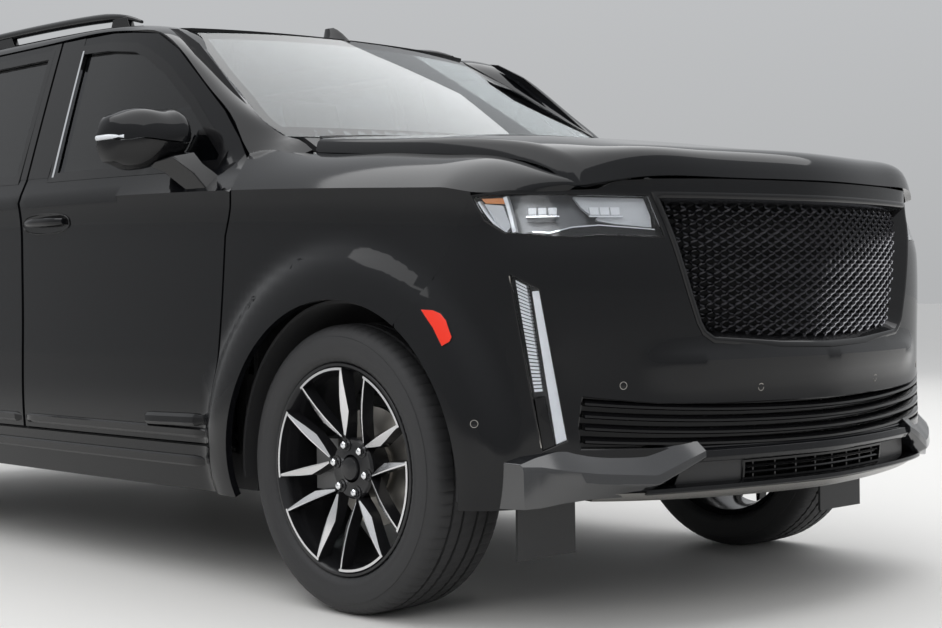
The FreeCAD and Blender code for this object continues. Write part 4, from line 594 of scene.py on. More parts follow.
def table_curves(rows):
    """Curves of y and z along the car from rows of x, y and z."""
    x, y, z = np.array(rows).T
    return Curve(x, y), Curve(x, z)


middle_y, middle_z = table_curves(FENDER_MIDDLE)
gap_y, gap_z = table_curves(HOOD_GAP)


def fender_foot(x):
    """Height of the fender band's outer edge: the shoulder, and the lamp's top edge ahead of it."""
    return shoulder(x) + (1.172 - shoulder(x)) * ramp(0.40, 0.56, x)


def fender_band(x, v):
    """Points of the band: v is 0 at the shoulder and 1 at the hood's gap."""
    foot = side(x, fender_foot(x))
    mid = np.stack([FRONT + x, -middle_y(x), middle_z(x)], axis=-1)
    end = np.stack([FRONT + x, -gap_y(x), gap_z(x)], axis=-1)
    v = v[..., None]
    knee = 2 * mid - (foot + end) / 2
    return (1 - v) ** 2 * foot + 2 * v * (1 - v) * knee + v ** 2 * end


door_front_edge = [(x + GAP, z) for x, z in FRONT_DOOR[::-1][:6]]
fender_outline = ([(-0.600, 0.300)] + door_front_edge + line_of(fender_foot, -0.487, LAMP_TIP[0], 40)
                  + [LAMP_TIP] + [(0.330, 0.895), (0.256, 0.826)] + arch_arc(0, ARCH, 58.0, 193.6, 40))
fender_side = patch(fender_outline, side, step=0.028)
band_v, band_s = np.meshgrid(np.linspace(0, 1, 14), np.linspace(0, 1, 60))
band_start = -0.487 - 0.118 * band_v
fender_top = grid(fender_band(band_start + (FENDER_END - band_start) * band_s, band_v))
show_both("fender_side", thick(fender_side, SKIN), PAINT, "root", ["fenders"], bevel=0.003)
show_both("fender_top", thick(fender_top, 0.015), PAINT, "root")


# Hood: a long curve at each distance from the middle, joined across the car
HOOD_ROWS = [   # y, then x and z at six places from the cowl to the lip over the grille
    (0.0, (-0.262, 1.412), (-0.019, 1.398), (0.468, 1.350), (0.800, 1.306), (0.925, 1.268), (0.952, 1.212)),
    (0.420, (-0.285, 1.405), (-0.019, 1.390), (0.468, 1.345), (0.760, 1.304), (0.872, 1.266), (0.893, 1.212)),
    (0.660, (-0.315, 1.396), (-0.019, 1.376), (0.468, 1.338), (0.700, 1.298), (0.796, 1.258), (0.815, 1.206)),
    (0.768, (-0.335, 1.386), (-0.019, 1.363), (0.440, 1.328), (0.640, 1.284), (0.725, 1.232), (0.752, 1.187)),
    (0.795, (-0.340, 1.343), (-0.019, 1.318), (0.440, 1.279), (0.600, 1.249), (0.680, 1.212), (0.708, 1.183))]
HOOD_LINES = 64


def hood_data():
    rows = [smooth_path([(x, z) for x, z in row[1:]], HOOD_LINES) for row in HOOD_ROWS]
    y_keys = [row[0] for row in HOOD_ROWS]
    keys = [-y for y in reversed(y_keys[1:4])] + y_keys[:4]
    stack = np.array(rows[3:0:-1] + rows[:4])
    y_values = np.concatenate([np.linspace(0, 0.66, 18), np.linspace(0.68, 0.768, 8)])
    lines = []
    for y in y_values:
        lines.append([(float(Curve(keys, stack[:, i, 0])(y)), -y, float(Curve(keys, stack[:, i, 1])(y)))
                      for i in range(HOOD_LINES)])
    edge = np.array([(x, -y_keys[4], z) for x, z in rows[4]])
    inner = np.array(lines[-1])
    for s in (0.35, 0.7, 1.0):
        lines.append(inner + (edge - inner) * [s, s, 1 - math.sqrt(1 - s ** 2)])
    points = np.array(lines) + np.array([FRONT, 0, 0])
    return whole(grid(points))


hood = hood_data()
show("hood_skin", thick(hood, 0.02), PAINT, "hood", ["hood"])


# Windshield, roof, and the pillar and rail between them and the doors
SCREEN_RAKE = 1.81
SCREEN_BOW = 2.13
SCREEN_BULGE = 0.012
SCREEN_LOW, SCREEN_HIGH, SCREEN_SPAN = 1.40, 1.85, 0.45
SCREEN_FOOT = (-0.330, 1.395)
# Windshield's top edge: half its width, its height at the ends and how much higher its middle is
HEADER_HALF, HEADER_Z, HEADER_CROWN = 0.641, 1.828, 0.018


def screen(y, z, depth=0.0):
    """Points of the windshield's surface, or of a layer behind it."""
    y, z = np.broadcast_arrays(np.asarray(y, float), np.asarray(z, float))
    sag = SCREEN_BOW - np.sqrt(SCREEN_BOW ** 2 - y ** 2)
    bulge = SCREEN_BULGE * 4 * np.clip((z - SCREEN_LOW) * (SCREEN_HIGH - z) / SCREEN_SPAN ** 2, 0, 1)
    x = SCREEN_FOOT[0] - (z - SCREEN_FOOT[1]) * SCREEN_RAKE - sag + bulge - depth
    return np.stack([FRONT + x, y, z], axis=-1)


def header_z(y):
    """Height of the windshield's top edge, which is highest in the middle."""
    return HEADER_Z + HEADER_CROWN * (1 - min(1, abs(y) / HEADER_HALF) ** 2)


SCREEN_SIDE = [(0.785, 1.402), (0.798, 1.452), (0.770, 1.545), (0.735, 1.640), (0.690, 1.736),
               (HEADER_HALF, HEADER_Z)]
screen_half = smooth_path(SCREEN_SIDE, 24)
header = [(y, header_z(y)) for y in np.linspace(HEADER_HALF, -HEADER_HALF, 24)[1:-1]]
screen_outline = list(map(tuple, screen_half)) + header + [(-y, z) for y, z in screen_half[::-1]]
glass = patch(shrunk(screen_outline, 0.002), layer(0.002, screen), step=0.05)
show("windshield_pane", thick(glass, 0.005), SCREEN_GLASS, "root", ["windshield"])
frit = patch(shrunk(screen_outline, 0.001), layer(0.012, screen), [shrunk(screen_outline, 0.035)], step=0.04)
show("windshield_border", frit, SATIN_TRIM, "root", slot=None)

# Roof: x, then how far its edge and its middle line lie below its highest point
ROOF_STATIONS = [(-0.9, 0.101, 0.112), (-1.12, 0.087, 0.070), (-1.6, 0.049, 0.027), (-2.2, 0.031, 0.0),
                 (-3.321, 0.037, 0.010), (-4.371, 0.096, 0.076)]
ROOF_Z = 1.915
ROOF_EDGE = 0.735
station_x = [-row[0] for row in ROOF_STATIONS]
roof_edge_drop = Curve(station_x, [row[1] for row in ROOF_STATIONS])
roof_middle_drop = Curve(station_x, [row[2] for row in ROOF_STATIONS])
ROOF_BACK = -4.19


def roof(x, y):
    middle, edge = roof_middle_drop(-x), roof_edge_drop(-x)
    return np.stack([FRONT + x, y, ROOF_Z - middle - (edge - middle) * (y / ROOF_EDGE) ** 2], axis=-1)


def header_x(y):
    return float(screen(y, header_z(y))[0]) - FRONT - 0.006


roof_front = [(header_x(y), y) for y in np.linspace(-HEADER_HALF, HEADER_HALF, 24)]
roof_corner = [(-1.30, 0.700), (-1.45, ROOF_EDGE)]
roof_rear = [(ROOF_BACK, ROOF_EDGE), (ROOF_BACK - 0.03, 0.4), (ROOF_BACK - 0.04, 0),
             (ROOF_BACK - 0.03, -0.4), (ROOF_BACK, -ROOF_EDGE)]
roof_outline = roof_front + roof_corner + roof_rear + [(x, -y) for x, y in reversed(roof_corner)]
roof_panel = patch(roof_outline, roof, step=0.06)
show("roof_skin", thick(roof_panel, 0.012), PAINT, "root", ["roof_panel"])

# Pillar and rail: inner edge (x, y, z) up the glass and along the roof, outer edge (x, z) along the doors
PILLAR_POINTS = 90
FRONT_AXLE = np.array([FRONT, 0, 0])
pillar_inner = [(-0.340, 0.806, 1.350), (-0.420, 0.796, 1.388)]
pillar_inner += [tuple(screen(y, z) - FRONT_AXLE) for y, z in SCREEN_SIDE]
pillar_inner += [tuple(roof(x, y) - FRONT_AXLE) for x, y in roof_corner]
pillar_inner += [tuple(roof(x, ROOF_EDGE) - FRONT_AXLE) for x in (-1.8, -2.4, -3.05, -3.6, ROOF_BACK)]
PILLAR_OUTER = [(-0.486, 1.262), (-0.540, 1.332), (-0.604, 1.400), (-0.640, 1.447), (-0.775, 1.560),
                (-0.888, 1.647), (-1.010, 1.738), (-1.150, 1.806), (-1.291, 1.825), (-1.42, 1.837),
                (-1.8, 1.843), (-2.4, 1.843), (-3.05, 1.843), (-3.6, 1.836), (-4.05, 1.800)]
inner_line = smooth_path(pillar_inner, PILLAR_POINTS)
outer_line = side(*smooth_path(PILLAR_OUTER, PILLAR_POINTS).T)
crowned = ramp(0, 14, np.arange(PILLAR_POINTS))[:, None]
pillar_rows = []
for s in np.linspace(0, 1, 9):
    lift = 0.016 * 4 * s * (1 - s) * crowned
    row = inner_line * [1, -1, 1] * (1 - s) + (outer_line - FRONT_AXLE) * s
    pillar_rows.append(row + lift * [0.3, -0.7, 0.7])
pillar = grid(np.array(pillar_rows) + FRONT_AXLE)
show_both("pillar_and_rail", thick(pillar, 0.014), PAINT, "root")

# Body side behind and below the doors
sill = patch([(-0.606, 0.300), (-0.590, DOOR_BOTTOM - GAP), (-2.505, DOOR_BOTTOM - GAP)]
             + arch_arc(REAR_X, ARCH, 4.0, -13.7, 6), side,
             creases=[[(-0.62, 0.410), (-2.58, 0.410)], [(-0.62, 0.378), (-2.58, 0.378)]])
rear_door_edge = [(x - GAP, z) for x, z in REAR_DOOR[1:9]]
quarter_outline = ([(-2.578, DOOR_BOTTOM), (-2.560, 0.575)] + rear_door_edge[2:]
                   + [(-3.051, 1.843), (-3.6, 1.836), (-4.05, 1.800), (-4.13, 1.70), (-4.215, 1.34),
                      (-4.245, 0.95), (-4.245, 0.72), (-3.82, 0.72), (-3.78, 0.60)]
                   + arch_arc(REAR_X, ARCH, 160, 10, 40))
quarter = patch(quarter_outline, side, [QUARTER_WINDOW],
                [line_of(shoulder, -2.88, -4.20), line_of(belt, -2.88, -4.20)])
show_both("body_side", thick(quarter, SKIN), PAINT, "root", ["body_sides"], bevel=0.003)
show_both("sill", thick(sill, SKIN), PAINT, "root", bevel=0.003)
pane = patch(shrunk(QUARTER_WINDOW, -0.012), layer(0.012, side), step=0.06)
show_both("quarter_pane", thick(pane, 0.005), PRIVACY, "root", ["quarter_glass"])

# Nose: fascia with openings for the grille, the lamps and the bars

def nose_rows(rows):
    """Places on the plan curve and heights from rows of y and z."""
    return [(float(u_at_y(y)), z) for y, z in rows]


def side_rows(rows):
    """The same from rows of x and z."""
    return [(float(u_at_x(x)), z) for x, z in rows]


def across(half):
    """Closed outline from its right half, which starts and ends on the middle line."""
    return list(half) + [(-u, z) for u, z in reversed(half) if abs(u) > 1e-6]


LAMP_TAIL = [(0.741, 1.168), (0.560, 1.169), (0.508, 1.165), (0.512, 1.150), (0.544, 1.097), (0.600, 1.062),
             (0.688, 1.052), (0.748, 1.047), (0.775, 1.052)]
LAMP = [(0.624, 1.163)] + side_rows(LAMP_TAIL) + [(0.586, 1.047)]
RUNNING = [(1.017, 0.964), (0.930, 0.920), (0.862, 0.522), (0.932, 0.492)]
GRILLE = [(0.0, 1.157), (0.602, 1.157), (0.592, 1.131), (0.557, 1.035), (0.513, 0.904), (0.483, 0.826),
          (0.466, 0.799), (0.436, 0.781), (0.200, 0.764), (0.0, 0.759)]
BARS = nose_rows([(0.0, 0.604), (0.40, 0.608), (0.60, 0.615), (0.740, 0.632), (0.790, 0.640),
                  (0.800, 0.560), (0.795, 0.500), (0.60, 0.494), (0.0, 0.486)])
TOP_EDGE = nose_rows([(0.0, 1.207), (0.40, 1.207), (0.60, 1.204), (0.690, 1.199)])
TOP_EDGE += side_rows([(0.780, 1.178), (0.760, 1.176), (0.600, 1.176), (0.508, 1.166), (0.330, 0.895),
                       (0.262, 0.831)])
LOWER_EDGE = (side_rows([(0.640, 0.345), (0.720, 0.470)])
              + nose_rows([(0.800, 0.478), (0.60, 0.476), (0.0, 0.472)]))
bumper_arch = side_rows(arch_arc(0, ARCH, 57.0, -9.0, 24))
fascia = patch(TOP_EDGE + bumper_arch + LOWER_EDGE + BARS[::-1] + GRILLE[::-1], wrap, [RUNNING, LAMP],
               [nose_rows([(0.02, RIDGE_Z), (0.56, RIDGE_Z)])], step=0.022)
show("fascia", thick(whole(fascia), SKIN), PAINT, "root", ["front_bumper"], bevel=0.002)


def strip(line, profile):
    """Moulding along a line of (u, z); the profile's rows are height above the line and depth."""
    u, z = np.asarray(line, float).T
    return bar([wrap(u, z + rise, depth) for rise, depth in profile])


# Grille: a chamfered frame and a mesh of wires that cross in flat waves
grille_outline = across(GRILLE)
GRILLE_PROFILE = [(-0.013, 0.006), (-0.013, -0.002), (-0.009, -0.0045), (0.0, -0.0035), (0.004, 0.0),
                 (0.016, 0.036), (0.022, 0.042)]
show("grille_frame", frame_ring(grille_outline, GRILLE_PROFILE), GLOSS_TRIM, "root", ["grille"],
     slot="dark_chrome")
MESH_WIDE, MESH_HIGH = 0.0500, 0.0240
MESH_DEPTH = 0.034
MESH_STEP = 0.0029
WAVE = 0.0035
WIRE_HALF = 0.0042


def mesh_wires():
    """All wires of the mesh: each leans one way, waves, and is cut off at the frame."""
    edge = shrunk(grille_outline, 0.014)
    parts = []
    half, top, bottom = 0.62, 1.16, 0.75
    slope = MESH_HIGH / MESH_WIDE
    run = (top - bottom) / slope
    z = np.arange(bottom, top, MESH_STEP)
    wave = 2 * math.pi * (z - bottom) / MESH_HIGH
    for lean in (-1, 1):
        for i in range(int((2 * half + run) / MESH_WIDE)):
            start = -half + MESH_WIDE * i if lean < 0 else -half - run + MESH_WIDE * (i + 0.5)
            u = start + lean * (z - bottom) / slope + lean * WAVE * np.sin(wave * 2)
            good = inside(np.stack([u, z], axis=1), edge)
            ends = np.flatnonzero(np.diff(np.concatenate([[0], good.astype(int), [0]])))
            for first, last in ends.reshape(-1, 2):
                if last - first > 2:
                    parts.append(wire_run(u[first:last], z[first:last], lean))
    return joined(*parts)


def wire_run(u, z, lean):
    """One wire of the mesh, a ridge with a sharp front."""
    rows = [wrap(u, z - WIRE_HALF, MESH_DEPTH + 0.003),
            wrap(u, z - 0.0008, MESH_DEPTH - 0.003 + 0.0006 * lean),
            wrap(u, z + WIRE_HALF, MESH_DEPTH + 0.004), wrap(u, z, MESH_DEPTH + 0.012)]
    return grid(np.array(rows), closed_u=True)


show("grille_mesh", mesh_wires(), DARK_CHROME, "root", sharp=50)
back = patch(shrunk(grille_outline, 0.01), layer(0.075), step=0.08)
show("grille_back", back, LINER, "root")

# Bars in their recess under the grille
bars_outline = across(BARS)
recess = patch(bars_outline, layer(0.045), step=0.06)
show("bar_recess", recess, GLOSS_TRIM, "root", slot=None)
show("bar_recess_edge", frame_ring(bars_outline, [(0.0, -0.0005), (0.003, 0.002), (0.004, 0.045)]),
     GLOSS_TRIM, "root", slot=None)
BAR_PROFILE = [(-0.009, 0.040), (-0.009, 0.004), (-0.006, 0.0), (0.0, 0.0), (0.0075, 0.0095), (0.0090, 0.040)]
BAR_HEIGHTS = [(0.586, 0.622), (0.557, 0.590), (0.526, 0.558), (0.498, 0.524)]    # in the middle, at the ends
bar_half = float(u_at_y(0.784))
for number, (middle_height, end_height) in enumerate(BAR_HEIGHTS):
    u = np.linspace(-bar_half, bar_half, 90)
    z = middle_height + (end_height - middle_height) * np.abs(u / u[-1]) ** 2.2
    show(f"bar_{number}", strip(np.stack([u, z], axis=1), BAR_PROFILE), GLOSS_TRIM, "root")

# Wing at each lower corner: y, then x and z of six edges, from the shelf's back round to the underside
WING = [
    (0.938, (0.560, 0.470), (0.668, 0.468), (0.676, 0.462), (0.680, 0.450), (0.682, 0.352), (0.560, 0.346)),
    (0.905, (0.600, 0.486), (0.690, 0.484), (0.716, 0.462), (0.719, 0.452), (0.712, 0.356), (0.600, 0.350)),
    (0.850, (0.660, 0.500), (0.716, 0.498), (0.758, 0.450), (0.760, 0.424), (0.742, 0.366), (0.660, 0.356)),
    (0.780, (0.700, 0.500), (0.752, 0.494), (0.802, 0.440), (0.804, 0.414), (0.770, 0.372), (0.700, 0.362)),
    (0.700, (0.740, 0.500), (0.798, 0.488), (0.848, 0.434), (0.850, 0.408), (0.800, 0.372), (0.740, 0.364)),
    (0.640, (0.760, 0.500), (0.830, 0.484), (0.878, 0.430), (0.880, 0.405), (0.820, 0.374), (0.760, 0.366)),
    (0.560, (0.800, 0.510), (0.862, 0.506), (0.902, 0.462), (0.903, 0.440), (0.880, 0.428), (0.800, 0.420)),
    (0.490, (0.840, 0.512), (0.888, 0.509), (0.916, 0.486), (0.917, 0.470), (0.908, 0.462), (0.840, 0.456)),
]
WING_LINES = 44


def wing():
    """Lower corner of the bumper, smooth along its length and creased across it."""
    keys = [-row[0] for row in WING]
    y = np.linspace(keys[0], keys[-1], WING_LINES)
    rows = []
    for corner in zip(*[row[1:] for row in WING]):
        x, z = np.array(corner).T
        rows.append(np.stack([FRONT + np.interp(y, keys, x), y, np.interp(y, keys, z)], axis=1))
    return bar(rows)


show_both("wing", wing(), BAND, "root", ["front_bumper"], bevel=0.002, sharp=25)
LIP_HALF = 0.50      # half the length along the nose of the lip over the lower intake
lip_line = np.stack([np.linspace(-LIP_HALF, LIP_HALF, 50), np.full(50, 0.480)], axis=1)
LIP_PROFILE = [(0.010, 0.030), (0.010, -0.006), (0.004, -0.018), (-0.014, -0.022), (-0.026, -0.012),
               (-0.030, 0.030)]
show("intake_lip", strip(lip_line, LIP_PROFILE), PAINT, "root", bevel=0.0015)
INTAKE_BACK = [(-0.56, 0.390), (0.56, 0.390), (0.53, 0.460), (-0.53, 0.460)]
INTAKE_GRID = [(-0.33, 0.398), (0.33, 0.398), (0.33, 0.444), (-0.33, 0.444)]
INTAKE_RIM = [(-0.006, 0.013), (-0.004, 0.009), (0.002, 0.009), (0.003, 0.040)]
intake_panel = patch(INTAKE_BACK, layer(0.014), [INTAKE_GRID], step=0.04)
show("intake_panel", thick(intake_panel, 0.004), SATIN_TRIM, "root")
show("intake_dark", patch(INTAKE_BACK, layer(0.060), step=0.06), LINER, "root")
show("intake_edge", frame_ring(INTAKE_GRID, INTAKE_RIM), GLOSS_TRIM, "root")
SLAT_PROFILE = [(-0.004, 0.040), (-0.004, 0.014), (0.0, 0.011), (0.004, 0.014), (0.004, 0.040)]
slat_u = np.linspace(-0.33, 0.33, 40)
slats = [strip(np.stack([slat_u, np.full(40, z)], axis=1), SLAT_PROFILE) for z in (0.413, 0.430)]
posts = [box(*wrap_box(u, 0.398, 0.444, 0.003, 0.016, 0.04)) for u in np.linspace(-0.29, 0.29, 8)]
show("intake_grid", joined(*slats, *posts), GLOSS_TRIM, "root")
SPLITTER_HALF = 0.66
split_line = np.stack([np.linspace(-SPLITTER_HALF, SPLITTER_HALF, 60), np.full(60, 0.386)], axis=1)
SPLITTER_PROFILE = [(0.010, 0.060), (0.010, -0.004), (0.004, -0.020), (-0.006, -0.023), (-0.010, -0.020),
                    (-0.010, 0.100)]
show("splitter", strip(split_line, SPLITTER_PROFILE), GLOSS_TRIM, "root", bevel=0.001)
UNDER_HALF = 0.80
under_u = np.linspace(-UNDER_HALF, UNDER_HALF, 60)
under_line = np.stack([under_u, 0.374 + 0.012 * (under_u / UNDER_HALF) ** 2], axis=1)
UNDER_PROFILE = [(0.0, -0.017), (-0.024, 0.014), (-0.030, 0.090), (-0.024, 0.090), (-0.004, 0.090)]
show("splitter_under", strip(under_line, UNDER_PROFILE), SPLITTER, "root", bevel=0.001)

# Parking sensors: a thin ring around a plug, flush with the cover
SENSOR = 0.0105


def nose_circle(middle, radius, depth, count):
    angles = turns(count)
    return wrap(middle[0] + radius * np.cos(angles), middle[1] + radius * np.sin(angles), depth)


def disc(middle, depth, radius, rise=0.0, count=20):
    """Round plate on the nose's skin, its middle raised."""
    rings = [nose_circle(middle, share * radius, depth - rise * (1 - share ** 2), count)
             for share in (1.0, 0.75, 0.4, 0.05)]
    points, faces = grid(np.array(rings), closed_v=True)
    return points, faces + [tuple(range(3 * count, 4 * count))]


def hoop(middle, depth, radius, wide):
    """Ring on the nose's skin."""
    inner = 1 - wide / radius
    around = [(1.0, 0.0015), (1.0, -0.0008), (inner, -0.0008), (inner, 0.0015)]
    rows = [nose_circle(middle, share * radius, depth + down, 24) for share, down in around]
    return grid(np.array(rows), closed_u=True, closed_v=True)


sensors = [(0.715, 0.664), (0.276, 0.644), (1.096, 0.570)]
plugs = joined(*[disc(place, -0.0004, SENSOR * 0.8, 0.0006) for place in sensors])
show_both("sensor", plugs, GLOSS_TRIM, "root", slot=None)
show_both("sensor_ring", joined(*[hoop(place, 0.0, SENSOR, 0.0016) for place in sensors]), STEEL, "root",
          slot=None)

# Headlamp: a silver bowl, its grey lifted as a painted reflection of the sky, behind a clear lens, bright
# modules, light guide, amber tip and a stepped bezel

def lamp_place(rows):
    """Places on the nose from rows of the distance from the lamp's corner towards its tip and the height."""
    return [(CORNER_START + along, z) for along, z in rows]


def plate(outline, depth, thickness, step=0.05):
    """Plate that follows the nose at a depth below its skin."""
    return thick(patch(outline, layer(depth), step=step), thickness)


def ribbon(line, half, depth, thickness):
    """Bar of even width along a line of (u, z)."""
    line = np.asarray(line, float)
    ahead = np.gradient(line, axis=0)
    ahead /= np.linalg.norm(ahead, axis=1, keepdims=True)
    across_line = np.stack([-ahead[:, 1], ahead[:, 0]], axis=1) * half
    low, high, back = line - across_line, line + across_line, depth + thickness
    rows = [(low, back), (low, depth), (high, depth), (high, back)]
    return bar([wrap(at[:, 0], at[:, 1], down) for at, down in rows])


LAMP_FRAME = [(0.0, 0.012), (0.0, -0.0006), (0.003, -0.0012), (0.0055, 0.002), (0.0065, 0.058)]
show_both("lamp_frame", frame_ring(LAMP, LAMP_FRAME), GLOSS_TRIM, "root", ["headlamps"])
# The bowl's lighter grey is partly real silver and partly painted sky reflection
show_both("lamp_bowl", plate(shrunk(LAMP, 0.004), 0.056, 0.004), BOWL_SILVER_AND_PAINTED_SKY, "root")
show_both("lamp_lens", plate(shrunk(LAMP, 0.006), 0.001, 0.003, 0.03), LENS, "root")
REFLECTOR = lamp_place([(-0.228, 1.153), (-0.010, 1.158), (-0.030, 1.130), (-0.075, 1.094), (-0.130, 1.084),
                        (-0.228, 1.076)])
show_both("lamp_reflector", plate(REFLECTOR, 0.030, 0.012), REFLECTOR_SILVER, "root", bevel=0.001)
BEZEL = lamp_place([(0.128, 1.066), (0.062, 1.062), (0.004, 1.076), (-0.070, 1.081), (-0.228, 1.069),
                    (-0.228, 1.055), (-0.050, 1.055), (0.128, 1.058)])
show_both("lamp_bezel", plate(BEZEL, 0.012, 0.030), GLOSS_TRIM, "root")
BEZEL_LINE = lamp_place([(0.110, 1.067), (0.062, 1.0635), (0.004, 1.0775), (-0.070, 1.0825),
                         (-0.226, 1.0705)])
show_both("lamp_bezel_line", ribbon(straight_path(BEZEL_LINE, 0.01), 0.0014, 0.010, 0.006), CHROME, "root")


def module(along, z):
    """Three cells of a lamp module, each a domed lens, above a thin shelf."""
    cells = []
    for i in (-1, 0, 1):
        middle = CORNER_START + along + 0.030 * i
        outline = [(middle - 0.012, z - 0.010), (middle + 0.012, z - 0.010), (middle + 0.013, z + 0.010),
                   (middle - 0.013, z + 0.010)]
        cells.append(plate(outline, 0.020, 0.016, 0.01))
    shelf = [(CORNER_START + along - 0.048, z - 0.016), (CORNER_START + along + 0.048, z - 0.016),
             (CORNER_START + along + 0.046, z - 0.0125), (CORNER_START + along - 0.046, z - 0.0125)]
    return joined(*cells), plate(shelf, 0.014, 0.030)


for number, (along, z) in enumerate([(0.083, 1.121), (-0.094, 1.120)]):
    cells, shelf = module(along, z)
    show_both(f"lamp_module_{number}", cells, LIGHT_GUIDE, "root", bevel=0.003)
    show_both(f"lamp_shelf_{number}", shelf, CHROME, "root")
GUIDE = lamp_place([(0.256, 1.143), (0.200, 1.137), (0.176, 1.080), (0.190, 1.064), (0.226, 1.098)])
show_both("lamp_guide", plate(GUIDE, 0.016, 0.020), REFLECTOR_SILVER, "root", bevel=0.001)
AMBER_TIP = lamp_place([(0.262, 1.157), (0.198, 1.157), (0.194, 1.141), (0.250, 1.144)])
show_both("lamp_amber", plate(AMBER_TIP, 0.014, 0.020), AMBER, "root", bevel=0.001)
GUIDE_LINE = lamp_place([(0.192, 1.160), (0.178, 1.118), (0.162, 1.066)])
show_both("lamp_guide_line", ribbon(smooth_path(GUIDE_LINE, 14), 0.0055, 0.008, 0.022), LIGHT_GUIDE,
          "root", bevel=0.001)
EDGE_LINE = lamp_place([(0.268, 1.149), (0.232, 1.100), (0.184, 1.061)])
show_both("lamp_edge_line", ribbon(smooth_path(EDGE_LINE, 14), 0.003, 0.009, 0.015), LIGHT_GUIDE, "root")


# Running lamp

def lamp_quad(*corners):
    """Points of the running lamp from places across it, 0 outside and 1 inside, and down it, 0 to 1."""
    top_outer, top_inner, bottom_inner, bottom_outer = [np.array(corner) for corner in RUNNING]
    out = []
    for across_lamp, down in corners:
        top = top_outer + (top_inner - top_outer) * across_lamp
        bottom = bottom_outer + (bottom_inner - bottom_outer) * across_lamp
        out.append(tuple(top + (bottom - top) * down))
    return out


RUNNING_FRAME = [(0.0, 0.010), (0.0, -0.0008), (0.003, -0.0014), (0.0045, 0.0), (0.0055, 0.044)]
show_both("running_frame", frame_ring(RUNNING, RUNNING_FRAME), GLOSS_TRIM, "root", ["running_lamps"])
show_both("running_back", plate(shrunk(RUNNING, 0.004), 0.043, 0.003), BOWL, "root")
OUTER_EDGE = lamp_quad((0.03, 0.02), (0.03, 0.97))
show_both("running_edge", ribbon(OUTER_EDGE, 0.0014, -0.0016, 0.008), STEEL, "root")
BRIGHT_FACE = lamp_quad((0.70, 0.05), (0.95, 0.02), (0.96, 0.985), (0.56, 0.985))
show_both("running_face", plate(BRIGHT_FACE, 0.004, 0.030, 0.03), LIGHT_GUIDE, "root", bevel=0.002)
GUIDE_STEPS = 30
dots = []
for step_number in range(GUIDE_STEPS):
    down = 0.03 + 0.64 * step_number / GUIDE_STEPS
    to = down + 0.64 / GUIDE_STEPS * 0.7
    low, high = 0.18 - 0.05 * down, 0.54 - 0.16 * down
    dots.append(plate(lamp_quad((low, down), (high, down), (high, to), (low, to)), 0.012, 0.022, 0.05))
show_both("running_guide", joined(*dots), LIGHT_GUIDE, "root")
BLOCK = lamp_quad((0.12, 0.70), (0.46, 0.70), (0.50, 0.985), (0.08, 0.985))
show_both("running_block", plate(BLOCK, 0.004, 0.030), GLOSS_TRIM, "root", bevel=0.001)
COVER = lamp_quad((0.07, 0.012), (0.97, 0.012), (0.97, 0.985), (0.52, 0.985), (0.48, 0.69), (0.08, 0.69))
show_both("running_cover", plate(COVER, 0.0, 0.002, 0.04), LENS, "root")

TOP_LINE = straight_path([(-0.610, 1.1625), (0.610, 1.1625)], 0.02)
show("grille_top_line", ribbon(TOP_LINE, 0.0022, -0.003, 0.006), STEEL, "root")

# Wheels, drawn around the y axis with the rim's face at y = 0 and the car behind it
RIM_FACE = 0.991
FACE_TO_MIDDLE = 0.128
SIDEWALL = [(0.1175, 0.3035), (0.126, 0.3075), (0.1345, 0.319), (0.139, 0.328), (0.1380, 0.333),
            (0.1418, 0.344), (0.1423, 0.356), (0.1405, 0.371), (0.1385, 0.3775), (0.1360, 0.3785),
            (0.1325, 0.388), (0.1235, 0.3995), (0.1120, 0.4068), (0.0980, 0.4108)]
TREAD_RADIUS = 0.4140
TREAD_HALF = 0.086
TREAD_CROWN = 0.0022
GROOVES = (-0.067, -0.026, 0.026, 0.067)
GROOVE_HALF = 0.0042
GROOVE_DEPTH = 0.0075
BLOCKS = 76
STEPS_PER_BLOCK = 6


def in_groove(out):
    return any(abs(out - groove) <= GROOVE_HALF + 1e-6 for groove in GROOVES)


def tyre_profile():
    """Rows of the distance outwards from the tyre's middle and the radius."""
    rows = list(SIDEWALL)
    edges = [TREAD_HALF]
    for groove in reversed(GROOVES):
        edges += [groove + GROOVE_HALF + 0.001, groove + GROOVE_HALF, groove - GROOVE_HALF,
                  groove - GROOVE_HALF - 0.001, groove - 0.020]
    for out in edges:
        if abs(out) < TREAD_HALF + 0.001:
            deep = GROOVE_DEPTH if in_groove(out) else 0
            rows.append((out, TREAD_RADIUS - TREAD_CROWN * (out / TREAD_HALF) ** 2 - deep))
    rows += [(-out, radius) for out, radius in reversed(SIDEWALL)]
    return rows


def sipes(out, angles):
    """Depth of the tread's cuts at a distance from the tyre's middle."""
    away = abs(out)
    if away > 0.127 or in_groove(out):
        return np.zeros(len(angles))
    phase = angles / (2 * math.pi) * BLOCKS
    if away > 0.070:
        return 0.0030 * (np.mod(phase + 0.10 * np.sign(out), 1) < 0.17) * (1.0 if away < 0.118 else 0.5)
    slant = out / 0.036 + 0.35 * math.sin(out * 190)
    return 0.0026 * (np.mod(phase + slant, 1) < 0.17)


def lathe(profile, count=96, cuts=None):
    """Turned shape from rows of the distance outwards from the tyre's middle and the radius."""
    angles = turns(count)
    rings = []
    for out, radius in profile:
        around = radius - (cuts(out, angles) if cuts else np.zeros(count))
        rings.append(np.stack([around * np.sin(angles), np.full(count, FACE_TO_MIDDLE - out),
                               around * np.cos(angles)], axis=1))
    return grid(np.array(rings), closed_u=True, closed_v=True)


def face_lathe(profile, count=72):
    """The same from rows of the depth behind the rim's face and the radius."""
    return lathe([(FACE_TO_MIDDLE - depth, radius) for depth, radius in profile], count)


